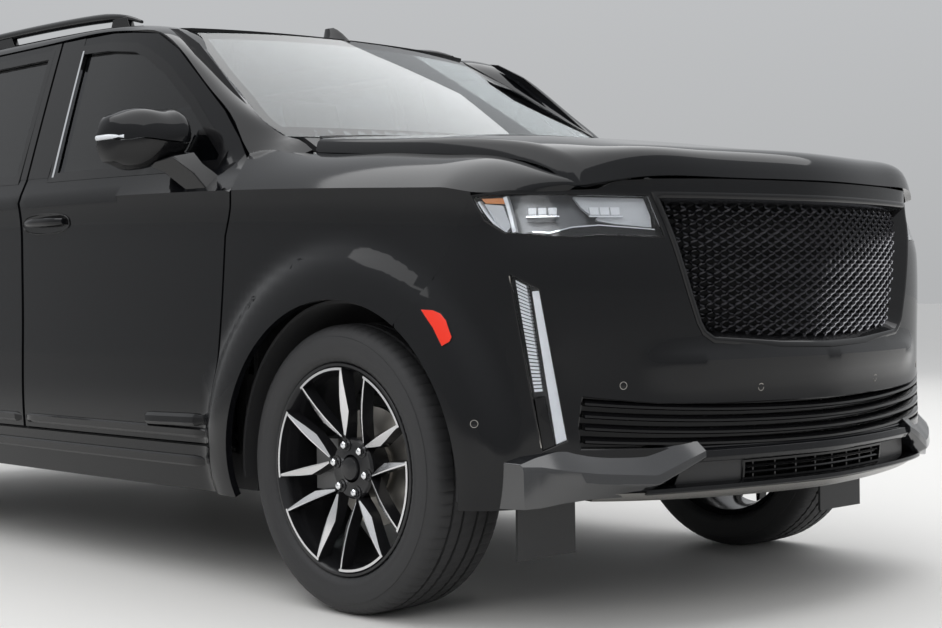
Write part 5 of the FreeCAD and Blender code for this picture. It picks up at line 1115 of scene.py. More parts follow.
BARREL = [(0.011, 0.3028), (0.002, 0.3030), (0.0, 0.3012), (0.0, 0.2945), (0.003, 0.2915), (0.012, 0.2865),
          (0.034, 0.279), (0.060, 0.2735), (0.130, 0.2705), (0.205, 0.2735), (0.240, 0.2840),
          (0.252, 0.3028), (0.244, 0.3028), (0.236, 0.2905), (0.200, 0.2800), (0.060, 0.2800),
          (0.018, 0.2905)]
HUB = [(0.040, 0.040), (0.043, 0.052), (0.043, 0.082), (0.050, 0.088), (0.110, 0.088), (0.110, 0.040)]
CAP = [(0.030, 0.0005), (0.0305, 0.018), (0.033, 0.0315), (0.038, 0.0345), (0.046, 0.0345), (0.046, 0.0005)]
DISC = [(0.111, 0.036), (0.111, 0.078), (0.126, 0.080), (0.1265, 0.172), (0.1535, 0.172), (0.1535, 0.080),
        (0.150, 0.036)]
PAIR_MIDDLES = [math.radians(-18 + 60 * i) for i in range(6)]
ARC_HALF = 20.4
ARC_RADII = (0.2822, 0.2893)
SPOKE_DEPTH = 0.040
# Spoke, from the rim inwards: share of its length, widths of its edge and facet, depth behind the rim's face
SPOKE_STATIONS = [(0.0, 0.0050, 0.0010, 0.0010), (0.18, 0.0048, 0.0070, 0.0030),
                  (0.40, 0.0044, 0.0150, 0.0080), (0.62, 0.0040, 0.0205, 0.0160),
                  (0.82, 0.0034, 0.0120, 0.0270), (1.0, 0.0024, 0.0030, 0.0370),
                  (1.18, 0.0020, 0.0020, 0.0450)]
SPOKE_OUTER_END = (0.2880, 18.6)
SPOKE_INNER_END = (0.0980, 3.2)


def polar(radius, degrees):
    angle = math.radians(degrees)
    return np.array([radius * math.sin(angle), radius * math.cos(angle)])


def turned(points, angle):
    """Points (x, depth, z) turned about the axle, clockwise as seen from outside."""
    x, depth, z = np.asarray(points, float).T
    return np.stack([x * math.cos(angle) + z * math.sin(angle), depth,
                     z * math.cos(angle) - x * math.sin(angle)], axis=1)


def spoke(bright):
    """Right-hand spoke of a pair that stands upright: its whole form, or only its machined faces."""
    start, end = polar(*SPOKE_OUTER_END), polar(*SPOKE_INNER_END)
    along = (end - start) / np.linalg.norm(end - start)
    outwards = np.array([-along[1], along[0]])
    outwards *= np.sign(outwards[0])
    rows = []
    for share, edge, facet, depth in SPOKE_STATIONS[:-1] if bright else SPOKE_STATIONS:
        first = start + (end - start) * share
        second = first + outwards * edge
        third = second + outwards * facet
        drop = depth + facet * 0.5
        if bright:
            section = [(first, depth - 0.0004), (second, depth - 0.0004), (third, drop - 0.0004),
                       (third, drop + 0.0006), (first, depth + 0.0006)]
        else:
            section = [(first - outwards * 0.001, depth + SPOKE_DEPTH), (first, depth), (second, depth),
                       (third, drop), (third + outwards * 0.004, depth + SPOKE_DEPTH)]
        rows.append([(place[0], down, place[1]) for place, down in section])
    return bar(np.array(rows).transpose(1, 0, 2))


def arc(bright):
    """Web along the rim that joins the outer ends of a pair."""
    inner, outer = ARC_RADII
    low, high = (-0.0004, 0.0006) if bright else (0.0006, 0.032)
    rows = []
    for degrees in np.linspace(-ARC_HALF, ARC_HALF, 21):
        rows.append([(*polar(radius, degrees), depth) for radius, depth in
                     ((inner, high), (inner, low), (outer, low), (outer, high))])
    return bar(np.array(rows)[:, :, [0, 2, 1]].transpose(1, 0, 2))


def mirrored_x(data):
    points, faces = data
    return points * np.array([-1, 1, 1]), [tuple(reversed(face)) for face in faces]


def pairs(bright):
    one = spoke(bright)
    pair = joined(one, mirrored_x(one), arc(bright))
    return joined(*[(turned(pair[0], angle), pair[1]) for angle in PAIR_MIDDLES])


def nut_set(profile, sides):
    """The same turned shape at each of the six nuts."""
    points, faces = face_lathe(profile, sides)
    out = []
    for angle in PAIR_MIDDLES:
        middle = turned([(0, 0, 0.0699)], angle)[0]
        out.append((points + middle, faces))
    return joined(*out)


NUT = [(0.024, 0.0005), (0.0255, 0.0075), (0.029, 0.0108), (0.044, 0.0112), (0.044, 0.0005)]
NUT_CUP = [(0.0405, 0.0185), (0.0405, 0.0150), (0.044, 0.0140), (0.045, 0.0140), (0.045, 0.0185),
           (0.043, 0.0190)]
tyre = lathe(tyre_profile(), BLOCKS * STEPS_PER_BLOCK, sipes)
rim_dark = joined(face_lathe(BARREL, 120), face_lathe(HUB), pairs(False), nut_set(NUT_CUP, 20))
WHEEL_PARTS = [("tyre", tyre, RUBBER, "tyre", "tyre_rubber", 40),
               ("rim_dark", rim_dark, POCKET, "rim", "wheel_metal", 30),
               ("rim_bright", pairs(True), MACHINED, None, "wheel_metal", 25),
               ("nuts", nut_set(NUT, 6), CHROME, None, "wheel_metal", 35),
               ("hub_cap", face_lathe(CAP), POCKET, None, "black_trim", 40),
               ("disc", face_lathe(DISC), STEEL, None, "raw_steel", 40)]
for end, axle_x in (("front", FRONT), ("rear", REAR)):
    for side_name, sign in SIDES:
        place = f"{end}_{side_name}"
        for part, data, look, node, finish, sharp in WHEEL_PARTS:
            points, faces = moved(data, (axle_x, -RIM_FACE, AXLE_Z))
            show(f"{part}_{place}", (points, faces) if sign < 0 else flipped((points, faces)), look,
                 f"wheel_{place}", [f"{node}_{place}"] if node else (), slot=finish, sharp=sharp)

# Side marker, handles, mouldings, strips and covers of the pillars
MARKER = [(1.274, 0.868), (1.239, 0.866), (1.216, 0.857), (1.197, 0.839), (1.172, 0.795), (1.175, 0.783),
          (1.196, 0.771), (1.228, 0.819)]
show_both("marker_lens", plate(MARKER, -0.003, 0.008, 0.012), MARKER_RED, "root", bevel=0.0015)
MARKER_RIM = [(-0.0015, 0.004), (-0.0015, -0.0016), (0.001, -0.0016), (0.001, 0.004)]
show_both("marker_frame", frame_ring(MARKER, MARKER_RIM), GLOSS_TRIM, "root")


def oval(middle_x, middle_z, half_x, half_z, count=40, power=2.6):
    angles = turns(count)
    cosine, sine = np.cos(angles), np.sin(angles)
    return np.stack([middle_x + half_x * np.sign(cosine) * np.abs(cosine) ** (2 / power),
                     middle_z + half_z * np.sign(sine) * np.abs(sine) ** (2 / power)], axis=1)


def handle(middle_x, middle_z):
    """Dished cup behind a grip that stands clear of the door."""
    rings = []
    for share, depth in [(1.04, 0.002), (1.04, -0.0028), (1.0, -0.0044), (0.93, -0.0044), (0.88, -0.0016),
                         (0.60, -0.0008), (0.02, -0.0004)]:
        outline = oval(middle_x, middle_z, 0.160 - 0.034 * (1 - share), 0.0355 * share)
        rings.append(side(outline[:, 0], outline[:, 1], depth))
    cup = grid(np.array(rings), closed_v=True)
    sections = []
    for s in np.linspace(-1, 1, 21):
        out = 0.040 - 0.022 * abs(s) ** 3
        half = 0.0150 * (1 - 0.25 * s * s)
        x = middle_x + 0.130 * s
        section = [(x, middle_z + 0.004 + half * math.sin(a), -out + 0.010 - 0.0085 * math.cos(a))
                   for a in turns(12)]
        sections.append([side(*place) for place in section])
    posts = []
    corners = ((-0.012, -0.010), (0.012, -0.010), (0.012, 0.010), (-0.012, 0.010))
    for s in (-1, 1):
        x = middle_x + 0.122 * s
        posts.append(loft([[side(x + dx, middle_z + 0.004 + dz, depth) for dx, dz in corners]
                           for depth in (0.0, -0.012)]))
    return cup, joined(loft(sections), *posts)


for place, middle_x, middle_z in (("front", -1.590, 1.167), ("rear", -2.600, 1.183)):
    cup, grip = handle(middle_x, middle_z)
    show_both(f"handle_cup_{place}", cup, GLOSS_TRIM, f"door_{place}_{{side}}")
    show_both(f"handle_grip_{place}", grip, PAINT, f"door_{place}_{{side}}")
MOULDING = [(-0.016, 0.002), (-0.016, -0.006), (-0.008, -0.0125), (0.010, -0.0125), (0.016, -0.005),
            (0.016, 0.002)]
RAISED = [(-0.020, 0.002), (-0.018, -0.014), (-0.008, -0.022), (0.010, -0.020), (0.020, -0.010),
          (0.022, 0.002)]
for place, start, end in (("front", -1.752, -0.640), ("rear", -2.500, -1.784)):
    low_strip = side_strip([(start, 0.484), (end, 0.484)], MOULDING, 0.03)
    show_both(f"door_moulding_{place}", low_strip, GLOSS_TRIM, f"door_{place}_{{side}}", sharp=20)
show_both("door_step", side_strip([(-0.981, 0.518), (-0.658, 0.524)], RAISED, 0.10), GLOSS_TRIM,
          "door_front_{side}", sharp=20)
ROCKER = [(-0.018, 0.004), (-0.018, -0.005), (-0.012, -0.010), (0.010, -0.010), (0.016, -0.004),
          (0.016, 0.004)]
show_both("rocker_moulding", side_strip([(-0.66, 0.394), (-2.53, 0.394)], ROCKER, 0.02), GLOSS_TRIM,
          "root", sharp=20)
PILLAR_STRIP = [(-1.577, 1.330), (-1.589, 1.330), (-1.599, 1.785), (-1.589, 1.785)]
strip_panel = patch(PILLAR_STRIP, layer(-0.004, side), step=0.03)
show_both("pillar_strip", thick(strip_panel, 0.012), CHROME, "door_front_{side}")
PILLAR_COVERS = [("front", [(-1.604, 1.330), (-1.760, 1.332), (-1.760, 1.832), (-1.606, 1.832)]),
                 ("rear", [(-1.774, 1.332), (-1.842, 1.334), (-1.832, 1.832), (-1.774, 1.832)])]
for place, outline in PILLAR_COVERS:
    cover = patch(outline, layer(-0.0012, side), step=0.06)
    show_both(f"pillar_cover_{place}", thick(cover, 0.006), GLOSS_TRIM, f"door_{place}_{{side}}")

# Mirrors: y, then the housing's back and front x and its low, parting and high z
MIRROR = [(0.946, -0.880, -0.782, 1.392, 1.406, 1.462), (0.962, -0.905, -0.757, 1.352, 1.396, 1.497),
          (1.000, -0.925, -0.757, 1.328, 1.395, 1.508), (1.060, -0.940, -0.776, 1.314, 1.400, 1.510),
          (1.110, -0.950, -0.812, 1.318, 1.406, 1.502), (1.148, -0.958, -0.856, 1.334, 1.402, 1.484),
          (1.170, -0.962, -0.900, 1.356, 1.406, 1.458), (1.179, -0.962, -0.935, 1.388, 1.408, 1.428)]
MIRROR_SECTIONS = 26
mirror_keys = [row[0] for row in MIRROR]
mirror_back, mirror_front, mirror_low, mirror_part, mirror_high = [
    Curve(mirror_keys, [row[i] for row in MIRROR]) for i in range(1, 6)]


def mirror_shell(upper):
    """Upper cap or lower part of the housing, rounded towards the front and flat behind."""
    sections = []
    share = np.sin(np.linspace(0, math.pi / 2, MIRROR_SECTIONS))
    for y in mirror_keys[0] + (mirror_keys[-1] - mirror_keys[0]) * share:
        back, front = float(mirror_back(y)), float(mirror_front(y))
        low, part, high = float(mirror_low(y)), float(mirror_part(y)), float(mirror_high(y))
        middle, half = (low + high) / 2, (high - low) / 2
        parting = math.asin(max(-0.9, min(0.9, (part - middle) / half)))
        start, end = (parting + 0.02, math.pi / 2) if upper else (-math.pi / 2, parting - 0.02)
        proud = 0.0 if upper else -0.004
        section = [(front + proud - (front - back) * 0.96 * (1 - abs(math.cos(a)) ** 0.62),
                    middle + half * math.sin(a)) for a in np.linspace(start, end, 12)]
        section += [(back, section[-1][1] * 0.97 + middle * 0.03),
                    (back, section[0][1] * 0.97 + middle * 0.03)]
        sections.append([(FRONT + x, -y, z) for x, z in section])
    return loft(sections)


show_both("mirror_cap", mirror_shell(True), PAINT, "door_front_{side}", ["mirror_{side}"], sharp=50)
show_both("mirror_base", mirror_shell(False), GLOSS_TRIM, "door_front_{side}", sharp=50)
MIRROR_GLASS = [(-0.966, 1.352), (-0.966, 1.480), (-1.060, 1.492), (-1.130, 1.484), (-1.160, 1.450),
                (-1.158, 1.372), (-1.110, 1.334), (-1.020, 1.338)]


def mirror_plane(y, z):
    return np.stack([FRONT + mirror_back(-y) - 0.002, y, z], axis=-1)


show_both("mirror_glass", thick(patch(MIRROR_GLASS, mirror_plane, step=0.02), 0.004), CHROME,
          "door_front_{side}", slot="clear_glass")
ARM = [   # corners of the arm's sections from the door up to the housing
    ((-0.628, 0.992, 1.236), (-0.632, 0.945, 1.284), (-0.760, 0.935, 1.300), (-0.735, 1.000, 1.240)),
    ((-0.668, 1.015, 1.290), (-0.676, 0.972, 1.322), (-0.800, 0.975, 1.335), (-0.813, 1.030, 1.299)),
    ((-0.735, 1.050, 1.345), (-0.735, 0.965, 1.362), (-0.850, 0.970, 1.372), (-0.880, 1.060, 1.330))]
arm = loft([[(FRONT + x, -y, z) for x, y, z in corners] for corners in ARM])
show_both("mirror_arm", arm, GLOSS_TRIM, "door_front_{side}", bevel=0.005)
SIGNAL = [(-0.858, 1.141, 1.412), (-0.895, 1.163, 1.413), (-0.928, 1.176, 1.412), (-0.958, 1.180, 1.411)]
signal = tube(smooth_path([(FRONT + x, -y, z) for x, y, z in SIGNAL], 14), 0.0085, 10)
show_both("mirror_signal", signal, REFLECTOR_SILVER, "door_front_{side}")

# Roof rails, fin, wipers
RAIL = [(-1.375, 1.872), (-1.450, 1.893), (-1.580, 1.910), (-1.800, 1.921), (-2.300, 1.930),
        (-2.900, 1.931), (-3.371, 1.926), (-3.800, 1.906), (-3.971, 1.892), (-4.060, 1.868)]
RAIL_Y = 0.742
rail_line = smooth_path(RAIL, 60)
sections = []
for number, (x, z) in enumerate(rail_line):
    share = min(1, 0.35 + min(number, len(rail_line) - 1 - number) / 8)
    sections.append([(FRONT + x, -RAIL_Y + 0.019 * share * math.cos(a), z + 0.017 * share * math.sin(a))
                     for a in turns(14)])
show_both("roof_rail", loft(sections), GLOSS_TRIM, "root", ["roof_rails"])
RAIL_FEET = [(-1.50, 1.838, 1.900), (-2.33, 1.866, 1.928), (-3.15, 1.862, 1.928), (-3.93, 1.826, 1.894)]


def rail_foot(x, low, high):
    """Foot of a rail, wider where it meets the roof."""
    sections = []
    for wide, z in ((0.085, low), (0.060, low + 0.03), (0.045, high)):
        corners = ((-wide, -0.013), (wide, -0.013), (wide, 0.013), (-wide, 0.013))
        sections.append([(FRONT + x + dx, -RAIL_Y + dy, z) for dx, dy in corners])
    return loft(sections)


feet = joined(*[rail_foot(*row) for row in RAIL_FEET])
show_both("rail_feet", feet, GLOSS_TRIM, "root", bevel=0.004)
FIN = [(-1.135, -1.285, 0.036, 0.0), (-1.150, -1.283, 0.028, 0.012), (-1.176, -1.281, 0.018, 0.032),
       (-1.205, -1.280, 0.010, 0.050), (-1.228, -1.279, 0.005, 0.060)]
fin_foot = float(roof(np.array(-1.21), np.array(0.0))[2]) - 0.014
fin = loft([[(FRONT + (nose + tail) / 2 + (nose - tail) / 2 * math.cos(a),
              half * math.sin(a) * (1.0 - 0.35 * math.cos(a)), fin_foot + rise) for a in turns(24)]
            for nose, tail, half, rise in FIN])
show("roof_fin", fin, PAINT, "root", ["roof_fin"])
BLADE_MIDDLES = (0.36, -0.36)
BLADE_HALF = 0.33


def wiper_blade(middle):
    """Blade that lies along the foot of the glass."""
    places = np.linspace(middle - BLADE_HALF, middle + BLADE_HALF, 16)
    path = [screen(y, 1.400 + 0.012 * (1 - ((y - middle) / BLADE_HALF) ** 2), -0.009) for y in places]
    return tube(path, 0.0065, 6)


def wiper_arm(middle):
    path = [screen(middle - 0.30, 1.394, -0.004), screen(middle - 0.20, 1.402, -0.014),
            screen(middle, 1.413, -0.014)]
    return tube(path, 0.006)


wipers = [make(middle) for make in (wiper_blade, wiper_arm) for middle in BLADE_MIDDLES]
show("wipers", joined(*wipers), SATIN_TRIM, "root")

# Tail: corners, liftgate with its window, lamps, bumper and plate
TAIL_END = float(PLAN_KEYS[-1])
behind = DENSE > float(u_at_x(-4.127))


def tail_u(y):
    return float(np.interp(-y, -DENSE_Y[behind], DENSE[behind]))


def tail_rows(rows):
    return [(tail_u(y), z) for y, z in rows]


TAIL_LAMP = tail_rows([(0.832, 0.862), (0.832, 1.342), (0.800, 1.500), (0.775, 1.640), (0.830, 1.640),
                       (0.865, 1.500), (0.905, 1.342), (0.926, 0.862)])
GATE = tail_rows([(0.800, 0.718), (0.800, 1.340), (0.762, 1.600), (0.722, 1.745), (0.672, 1.806),
                  (0.560, 1.832), (0.30, 1.840), (0.0, 1.842)])
GATE_WINDOW = tail_rows([(0.0, 1.385), (0.690, 1.385), (0.650, 1.600), (0.620, 1.715), (0.570, 1.752),
                         (0.0, 1.765)])
corner_edge = side_rows([(-4.245, 0.72), (-4.245, 0.95), (-4.215, 1.34), (-4.13, 1.70), (-4.05, 1.80)])
corner_top = tail_rows([(0.715, 1.822), (0.690, 1.812)])
gate_edge = [(u - GAP, z) for u, z in reversed(GATE[:5])]
corner_outline = corner_edge + corner_top + gate_edge
corner = patch(corner_outline, wrap, [TAIL_LAMP], step=0.035)
show_both("tail_corner", thick(corner, SKIN), PAINT, "root", bevel=0.002)
gate_half = GATE + [(TAIL_END, 1.842)] + GATE_WINDOW[::-1] + [(TAIL_END, 0.718)]
gate_skin = patch(gate_half, wrap, step=0.04)
show("gate_skin", thick(whole(gate_skin), SKIN), PAINT, "liftgate", ["liftgate"])
pane_outline = shrunk(GATE_WINDOW, -0.010)[1:-1].tolist() + [(TAIL_END, 1.772), (TAIL_END, 1.375)]
gate_pane = patch(pane_outline, layer(0.004), step=0.05)
show("gate_pane", thick(whole(gate_pane), 0.005), PRIVACY, "liftgate", ["liftgate_glass"])
lining_outline = [(tail_u(0.775), 0.745), (tail_u(0.775), 1.36), (TAIL_END, 1.36), (TAIL_END, 0.745)]
gate_lining = patch(lining_outline, layer(0.065), step=0.08)
show("gate_lining", thick(whole(gate_lining), 0.008), DASH, "liftgate")
TAIL_FRAME = [(0.0, 0.012), (0.0, -0.001), (0.004, -0.0015), (0.007, 0.004), (0.008, 0.05)]
show_both("tail_lamp_frame", frame_ring(TAIL_LAMP, TAIL_FRAME), GLOSS_TRIM, "root", ["tail_lamps"])
show_both("tail_lamp_back", plate(shrunk(TAIL_LAMP, 0.004), 0.048, 0.004), BOWL, "root")
show_both("tail_lamp_lens", plate(shrunk(TAIL_LAMP, 0.006), 0.003, 0.005, 0.03), RED_LENS, "root")
lamp_line = [(tail_u(0.868), 0.90), (tail_u(0.866), 1.342), (tail_u(0.832), 1.50), (tail_u(0.803), 1.61)]
show_both("tail_lamp_guide", ribbon(smooth_path(lamp_line, 30), 0.009, -0.001, 0.006), MARKER_RED, "root")
BUMPER = (side_rows(arch_arc(REAR_X, ARCH, 160.5, 191, 10) + [(-3.62, 0.330), (-4.10, 0.365)])
          + [(TAIL_END, 0.400), (TAIL_END, 0.712)]
          + side_rows([(-4.245, 0.715), (-3.822, 0.715), (-3.785, 0.600)]))
bumper_crease = side_rows([(-3.70, 0.520)]) + [(TAIL_END - 0.02, 0.540)]
rear_cover = patch(BUMPER, wrap, creases=[bumper_crease], step=0.035)
show("rear_cover", thick(whole(rear_cover), SKIN), PAINT, "root", ["rear_bumper"])
REAR_MOULDING = [(-0.05, 0.002), (-0.05, -0.006), (0.05, -0.006), (0.05, 0.002)]
rear_moulding = strip([(u, 0.545) for u in np.linspace(tail_u(0.80), TAIL_END, 24)], REAR_MOULDING)
show_both("rear_moulding", rear_moulding, GLOSS_TRIM, "root", bevel=0.002)
REAR_REFLECTOR = [(-0.012, 0.002), (-0.010, -0.004), (0.010, -0.004), (0.012, 0.002)]
rear_reflector = strip([(u, 0.635) for u in np.linspace(tail_u(0.84), tail_u(0.66), 12)], REAR_REFLECTOR)
show_both("rear_reflector", rear_reflector, MARKER_RED, "root")
back_x = FRONT + float(PLAN[-1][0])
# Number plate's frame: low and high y and z of its four sides
PLATE_SIDES = [(-0.30, 0.30, 0.955, 0.972), (-0.30, 0.30, 1.128, 1.145), (-0.30, -0.27, 0.955, 1.145),
               (0.27, 0.30, 0.955, 1.145)]
plate_frame = [box((back_x - 0.004, left, low), (back_x + 0.012, right, high))
               for left, right, low, high in PLATE_SIDES]
show("plate_frame", joined(*plate_frame), GLOSS_TRIM, "liftgate", bevel=0.002)
plate_blank = box((back_x - 0.005, -0.260, 0.978), (back_x + 0.004, 0.260, 1.122))
show("plate_blank", plate_blank, REFLECTOR_SILVER, "liftgate", slot="grey_plastic", bevel=0.003)
gate_bar = strip([(u, 1.215) for u in np.linspace(tail_u(0.78), TAIL_END, 30)],
                 [(-0.016, 0.002), (-0.012, -0.009), (0.012, -0.009), (0.016, 0.002)])
show_both("gate_bar", gate_bar, DARK_CHROME, "liftgate")
SPOILER = [(0.0, -4.215, 1.858, -4.345, 1.848), (0.40, -4.205, 1.852, -4.335, 1.842),
           (0.66, -4.190, 1.838, -4.300, 1.826), (0.715, -4.180, 1.828, -4.255, 1.815)]
spoiler = loft([[(FRONT + x1, -y, z1), (FRONT + x2, -y, z2), (FRONT + x2, -y, z2 - 0.010),
                 (FRONT + x1, -y, z1 - 0.030)] for y, x1, z1, x2, z2 in SPOILER])
show_both("spoiler", spoiler, PAINT, "liftgate", bevel=0.003)

# Frames that the doors close on
BOTH_DOORS = [(-0.555, 0.420), (-2.560, 0.420), (-2.600, 0.56), (-2.680, 0.75), (-2.806, 0.90),
              (-2.872, 1.05), (-2.892, 1.31), (-2.955, 1.60), (-3.015, 1.83), (-3.07, 1.850),
              (-1.42, 1.850), (-1.28, 1.838), (-1.12, 1.815), (-0.985, 1.750), (-0.850, 1.650),
              (-0.685, 1.520), (-0.585, 1.418), (-0.475, 1.275), (-0.462, 1.225), (-0.500, 1.08),
              (-0.520, 0.93), (-0.560, 0.56)]
JAMB_WALL = [(-0.002, 0.012), (-0.002, 0.100), (-0.004, 0.100), (-0.004, 0.012)]


def jamb_depth(z):
    return 0.100 - 0.040 * ramp(1.25, 1.45, z)


jamb = patch(BOTH_DOORS, lambda x, z: side(x, z, jamb_depth(z)),
             [shrunk(FRONT_DOOR, 0.045), shrunk(REAR_DOOR, 0.045)], step=0.06)
walls = [frame_ring(outline, JAMB_WALL, side, SIDE_STEP, closed=True) for outline in (FRONT_DOOR, REAR_DOOR)]
show_both("door_frames", joined(thick(jamb, 0.004), *walls), PAINT, "root")

# Seats: padded cushions, backs and head restraints over a plain base
PAD_STEPS = 34
SEAM_DEPTH, SEAM_WIDTH = 0.085, 0.022
DRAWN_IN = 0.035


def pad(length, width, height, channels, crown=0.10):
    """Padded form: swollen between its seams, its sides drawn in between its corners."""
    at = np.sin(np.linspace(-math.pi / 2, math.pi / 2, PAD_STEPS))
    u, v = np.meshgrid(at, at, indexing="ij")
    edge = ((1 - np.abs(u) ** 7).clip(0) ** 0.36) * ((1 - np.abs(v) ** 7).clip(0) ** 0.36)
    swell = 1 + crown * (1 - u ** 2) * (1 - v ** 2)
    for direction, places in channels:
        for place in places:
            swell = swell - SEAM_DEPTH * np.exp(-(((v if direction else u) - place) / SEAM_WIDTH) ** 2)
    x = length / 2 * u * (1 - DRAWN_IN * (1 - v ** 2))
    y = width / 2 * v * (1 - DRAWN_IN * (1 - u ** 2))
    top = np.stack([x, y, height / 2 * edge * swell], axis=-1)
    low = np.stack([x, y, -height / 2 * edge ** 0.6], axis=-1)
    upper, lower = grid(top), grid(low)
    return joined(upper, (lower[0], [tuple(reversed(face)) for face in lower[1]]))


def placed(data, turn, place):
    """Turned about the y axis by so many degrees, then moved."""
    return moved((turned(data[0], math.radians(turn)), data[1]), place)


# Seats: row, x of the back's foot, middle y, width, height of the floor
SEAT_ROWS = [("front", FRONT - 1.720, 0.400, 0.52, 0.675), ("middle", FRONT - 2.610, 0.400, 0.52, 0.675),
             ("rear", REAR - 0.200, 0.325, 0.62, 0.775)]
RECLINE = 18
CUSHION, BACK_LENGTH, PAD_HEIGHT, HEAD_WIDE = 0.50, 0.66, 0.135, 0.26
# Sewn valleys of the pads: 0 across or 1 along, and their places between -1 and 1
CUSHION_SEAMS = ((1, (-0.56, 0.56)), (0, (-0.2, 0.35)))
BACK_SEAMS = ((1, (-0.6, 0.6)), (0, (-0.5, 0.0, 0.5)))
HEAD_SEAMS = ((1, (-0.7, 0.7)),)
lean = math.radians(RECLINE)
along = np.array([-math.sin(lean), 0, math.cos(lean)])
outwards = np.array([math.cos(lean), 0, math.sin(lean)])
upright = -RECLINE - 90
for row, back_edge, seat_y, width, floor_z in SEAT_ROWS:
    base = floor_z + 0.15
    cushion = placed(pad(CUSHION, width, PAD_HEIGHT + 0.01, CUSHION_SEAMS), 0,
                     (back_edge + 0.25, -seat_y, base + 0.075))
    root_place = np.array([back_edge, -seat_y, floor_z + 0.26])
    back_middle = root_place + along * 0.28 + outwards * 0.06
    back_pad = placed(pad(BACK_LENGTH, width, PAD_HEIGHT - 0.02, BACK_SEAMS), upright, back_middle)
    head_middle = root_place + along * 0.70 + outwards * 0.065
    head = placed(pad(0.165, HEAD_WIDE, 0.088, HEAD_SEAMS, 0.2), upright, head_middle)
    plinth = box((back_edge + 0.065, -seat_y - width / 2 + 0.055, floor_z),
                 (back_edge + 0.435, -seat_y + width / 2 - 0.055, base + 0.02))
    stalks = [tube([head_middle + [0.01, dy, 0.0], head_middle + [0.01, dy, 0.0] - along * 0.14], 0.006)
              for dy in (-0.07, 0.07)]
    show_both(f"seat_base_{row}", joined(plinth, *stalks), DASH, "root", ["seats"], bevel=0.012)
    for part, data, fill in (("cushion", cushion, 0.8), ("back", back_pad, 0.8), ("head", head, 0.9)):
        for side_name, sign in SIDES:
            soft = show(f"seat_{part}_{row}_{side_name}", data if sign < 0 else flipped(data), LEATHER,
                        "root", ["seats"], sharp=60)
            rounding = soft.modifiers.new("Rounding", "SUBSURF")
            rounding.levels = rounding.render_levels = 1

# Materials of the pieces that keep their CAD form
CARRIED = {"cowl_panel": SATIN_TRIM, "seals": SEAL, "radiator_support": CHASSIS, "crossmembers": CHASSIS,
           "frame_rails": CHASSIS, "tow_hitch": CHASSIS, "engine_block": CAST, "driveline": CAST,
           "exhaust": STEEL, "fuel_tank": TANK, "suspension": CHASSIS, "knuckle_front_right": CAST,
           "knuckle_front_left": CAST, "arch_liners": LINER, "floor_pan": CARPET, "dashboard": DASH,
           "steering_wheel": DASH, "nose_tray": SATIN_TRIM}
for node, look in CARRIED.items():
    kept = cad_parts[node]
    kept.data.materials.clear()
    kept.data.materials.append(look)
    rounded(kept, 0.003, 40, False)

# Stage, light and camera

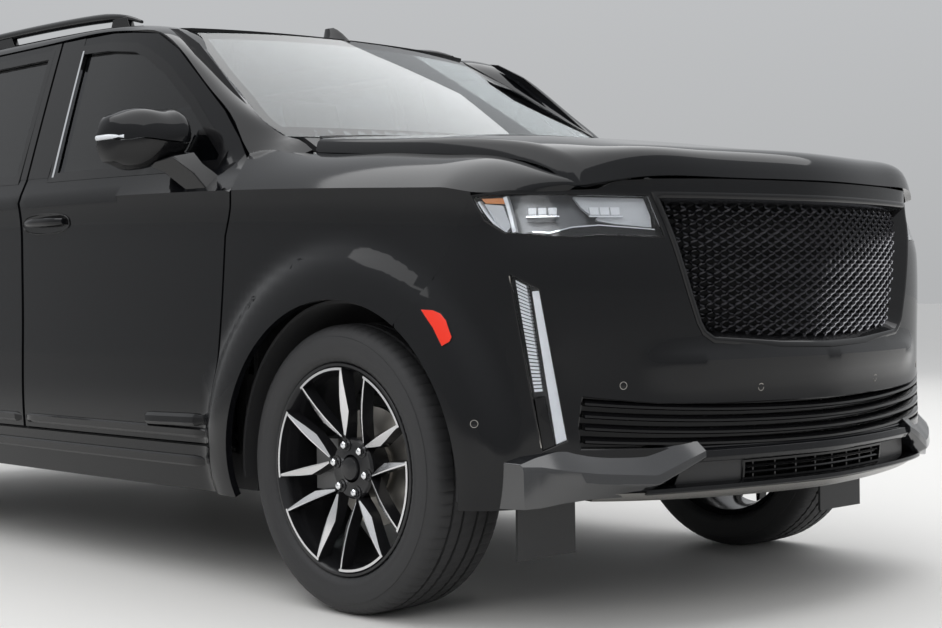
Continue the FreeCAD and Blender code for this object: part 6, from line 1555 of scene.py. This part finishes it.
def stage():
    """Pale floor, pale surroundings and soft lamps above and beside the car."""
    floor = bpy.data.meshes.new("floor")
    reach = 60
    floor.from_pydata([(-reach, -reach, 0), (reach, -reach, 0), (reach, reach, 0), (-reach, reach, 0)], [],
                      [(0, 1, 2, 3)])
    floor.materials.append(material("floor", (0.72, 0.71, 0.69), 0.6, grain=(0.05, 8)))
    ground = bpy.data.objects.new("floor", floor)
    bpy.context.scene.collection.objects.link(ground)
    world = bpy.data.worlds.new("world")
    bpy.context.scene.world = world
    world.use_nodes = True
    nodes, links = world.node_tree.nodes, world.node_tree.links
    background = nodes["Background"]
    place = nodes.new("ShaderNodeTexCoord")
    split = nodes.new("ShaderNodeSeparateXYZ")
    shades = nodes.new("ShaderNodeValToRGB")
    shades.color_ramp.elements[0].position = 0.0
    shades.color_ramp.elements[0].color = (0.60, 0.61, 0.62, 1)
    shades.color_ramp.elements[1].position = 0.6
    shades.color_ramp.elements[1].color = (0.92, 0.94, 0.97, 1)
    links.new(place.outputs["Generated"], split.inputs["Vector"])
    links.new(split.outputs["Z"], shades.inputs["Fac"])
    links.new(shades.outputs["Color"], background.inputs["Color"])
    background.inputs["Strength"].default_value = 0.75
    # Lamps: name, place, aim, width, height, power
    lamps = [("top", (0.5, 0, 6.5), (0.5, 0, 1.0), 9.0, 14.0, 560),
             ("key", (6.5, -7.5, 5.2), (1.6, -0.5, 0.9), 6.0, 4.0, 260),
             ("rim", (-6.5, 7.0, 4.6), (-1.0, 0, 1.0), 6.0, 4.0, 200)]
    for name, place, aim, width, length, power in lamps:
        lamp = bpy.data.lights.new(name, "AREA")
        lamp.shape = "RECTANGLE"
        lamp.size, lamp.size_y, lamp.energy = width, length, power
        item = bpy.data.objects.new(name, lamp)
        item.location = place
        item.rotation_euler = (Vector(aim) - Vector(place)).to_track_quat("-Z", "Y").to_euler()
        item.visible_glossy = name == "top"
        bpy.context.scene.collection.objects.link(item)


CAMERA_PLACE = Vector((5.464, -4.015, 0.923))
CAMERA_YAW, CAMERA_PITCH, CAMERA_ROLL = [math.radians(a) for a in (136.62, -0.873, -0.766)]
CAMERA_LENS = 64.93


def camera():
    """Camera that looks the way the photograph does."""
    ahead = Vector((math.cos(CAMERA_YAW) * math.cos(CAMERA_PITCH),
                    math.sin(CAMERA_YAW) * math.cos(CAMERA_PITCH), math.sin(CAMERA_PITCH)))
    right = ahead.cross(Vector((0, 0, 1))).normalized()
    up = right.cross(ahead)
    turned_right = right * math.cos(CAMERA_ROLL) + up * math.sin(CAMERA_ROLL)
    turned_up = up * math.cos(CAMERA_ROLL) - right * math.sin(CAMERA_ROLL)
    lens = bpy.data.cameras.new("camera")
    lens.lens = CAMERA_LENS
    lens.clip_end = 200
    item = bpy.data.objects.new("camera", lens)
    turn = Matrix((turned_right, turned_up, -ahead)).transposed().to_4x4()
    item.matrix_world = Matrix.Translation(CAMERA_PLACE) @ turn
    bpy.context.scene.collection.objects.link(item)
    bpy.context.scene.camera = item


stage()
camera()
bpy.context.scene.view_settings.view_transform = "Standard"
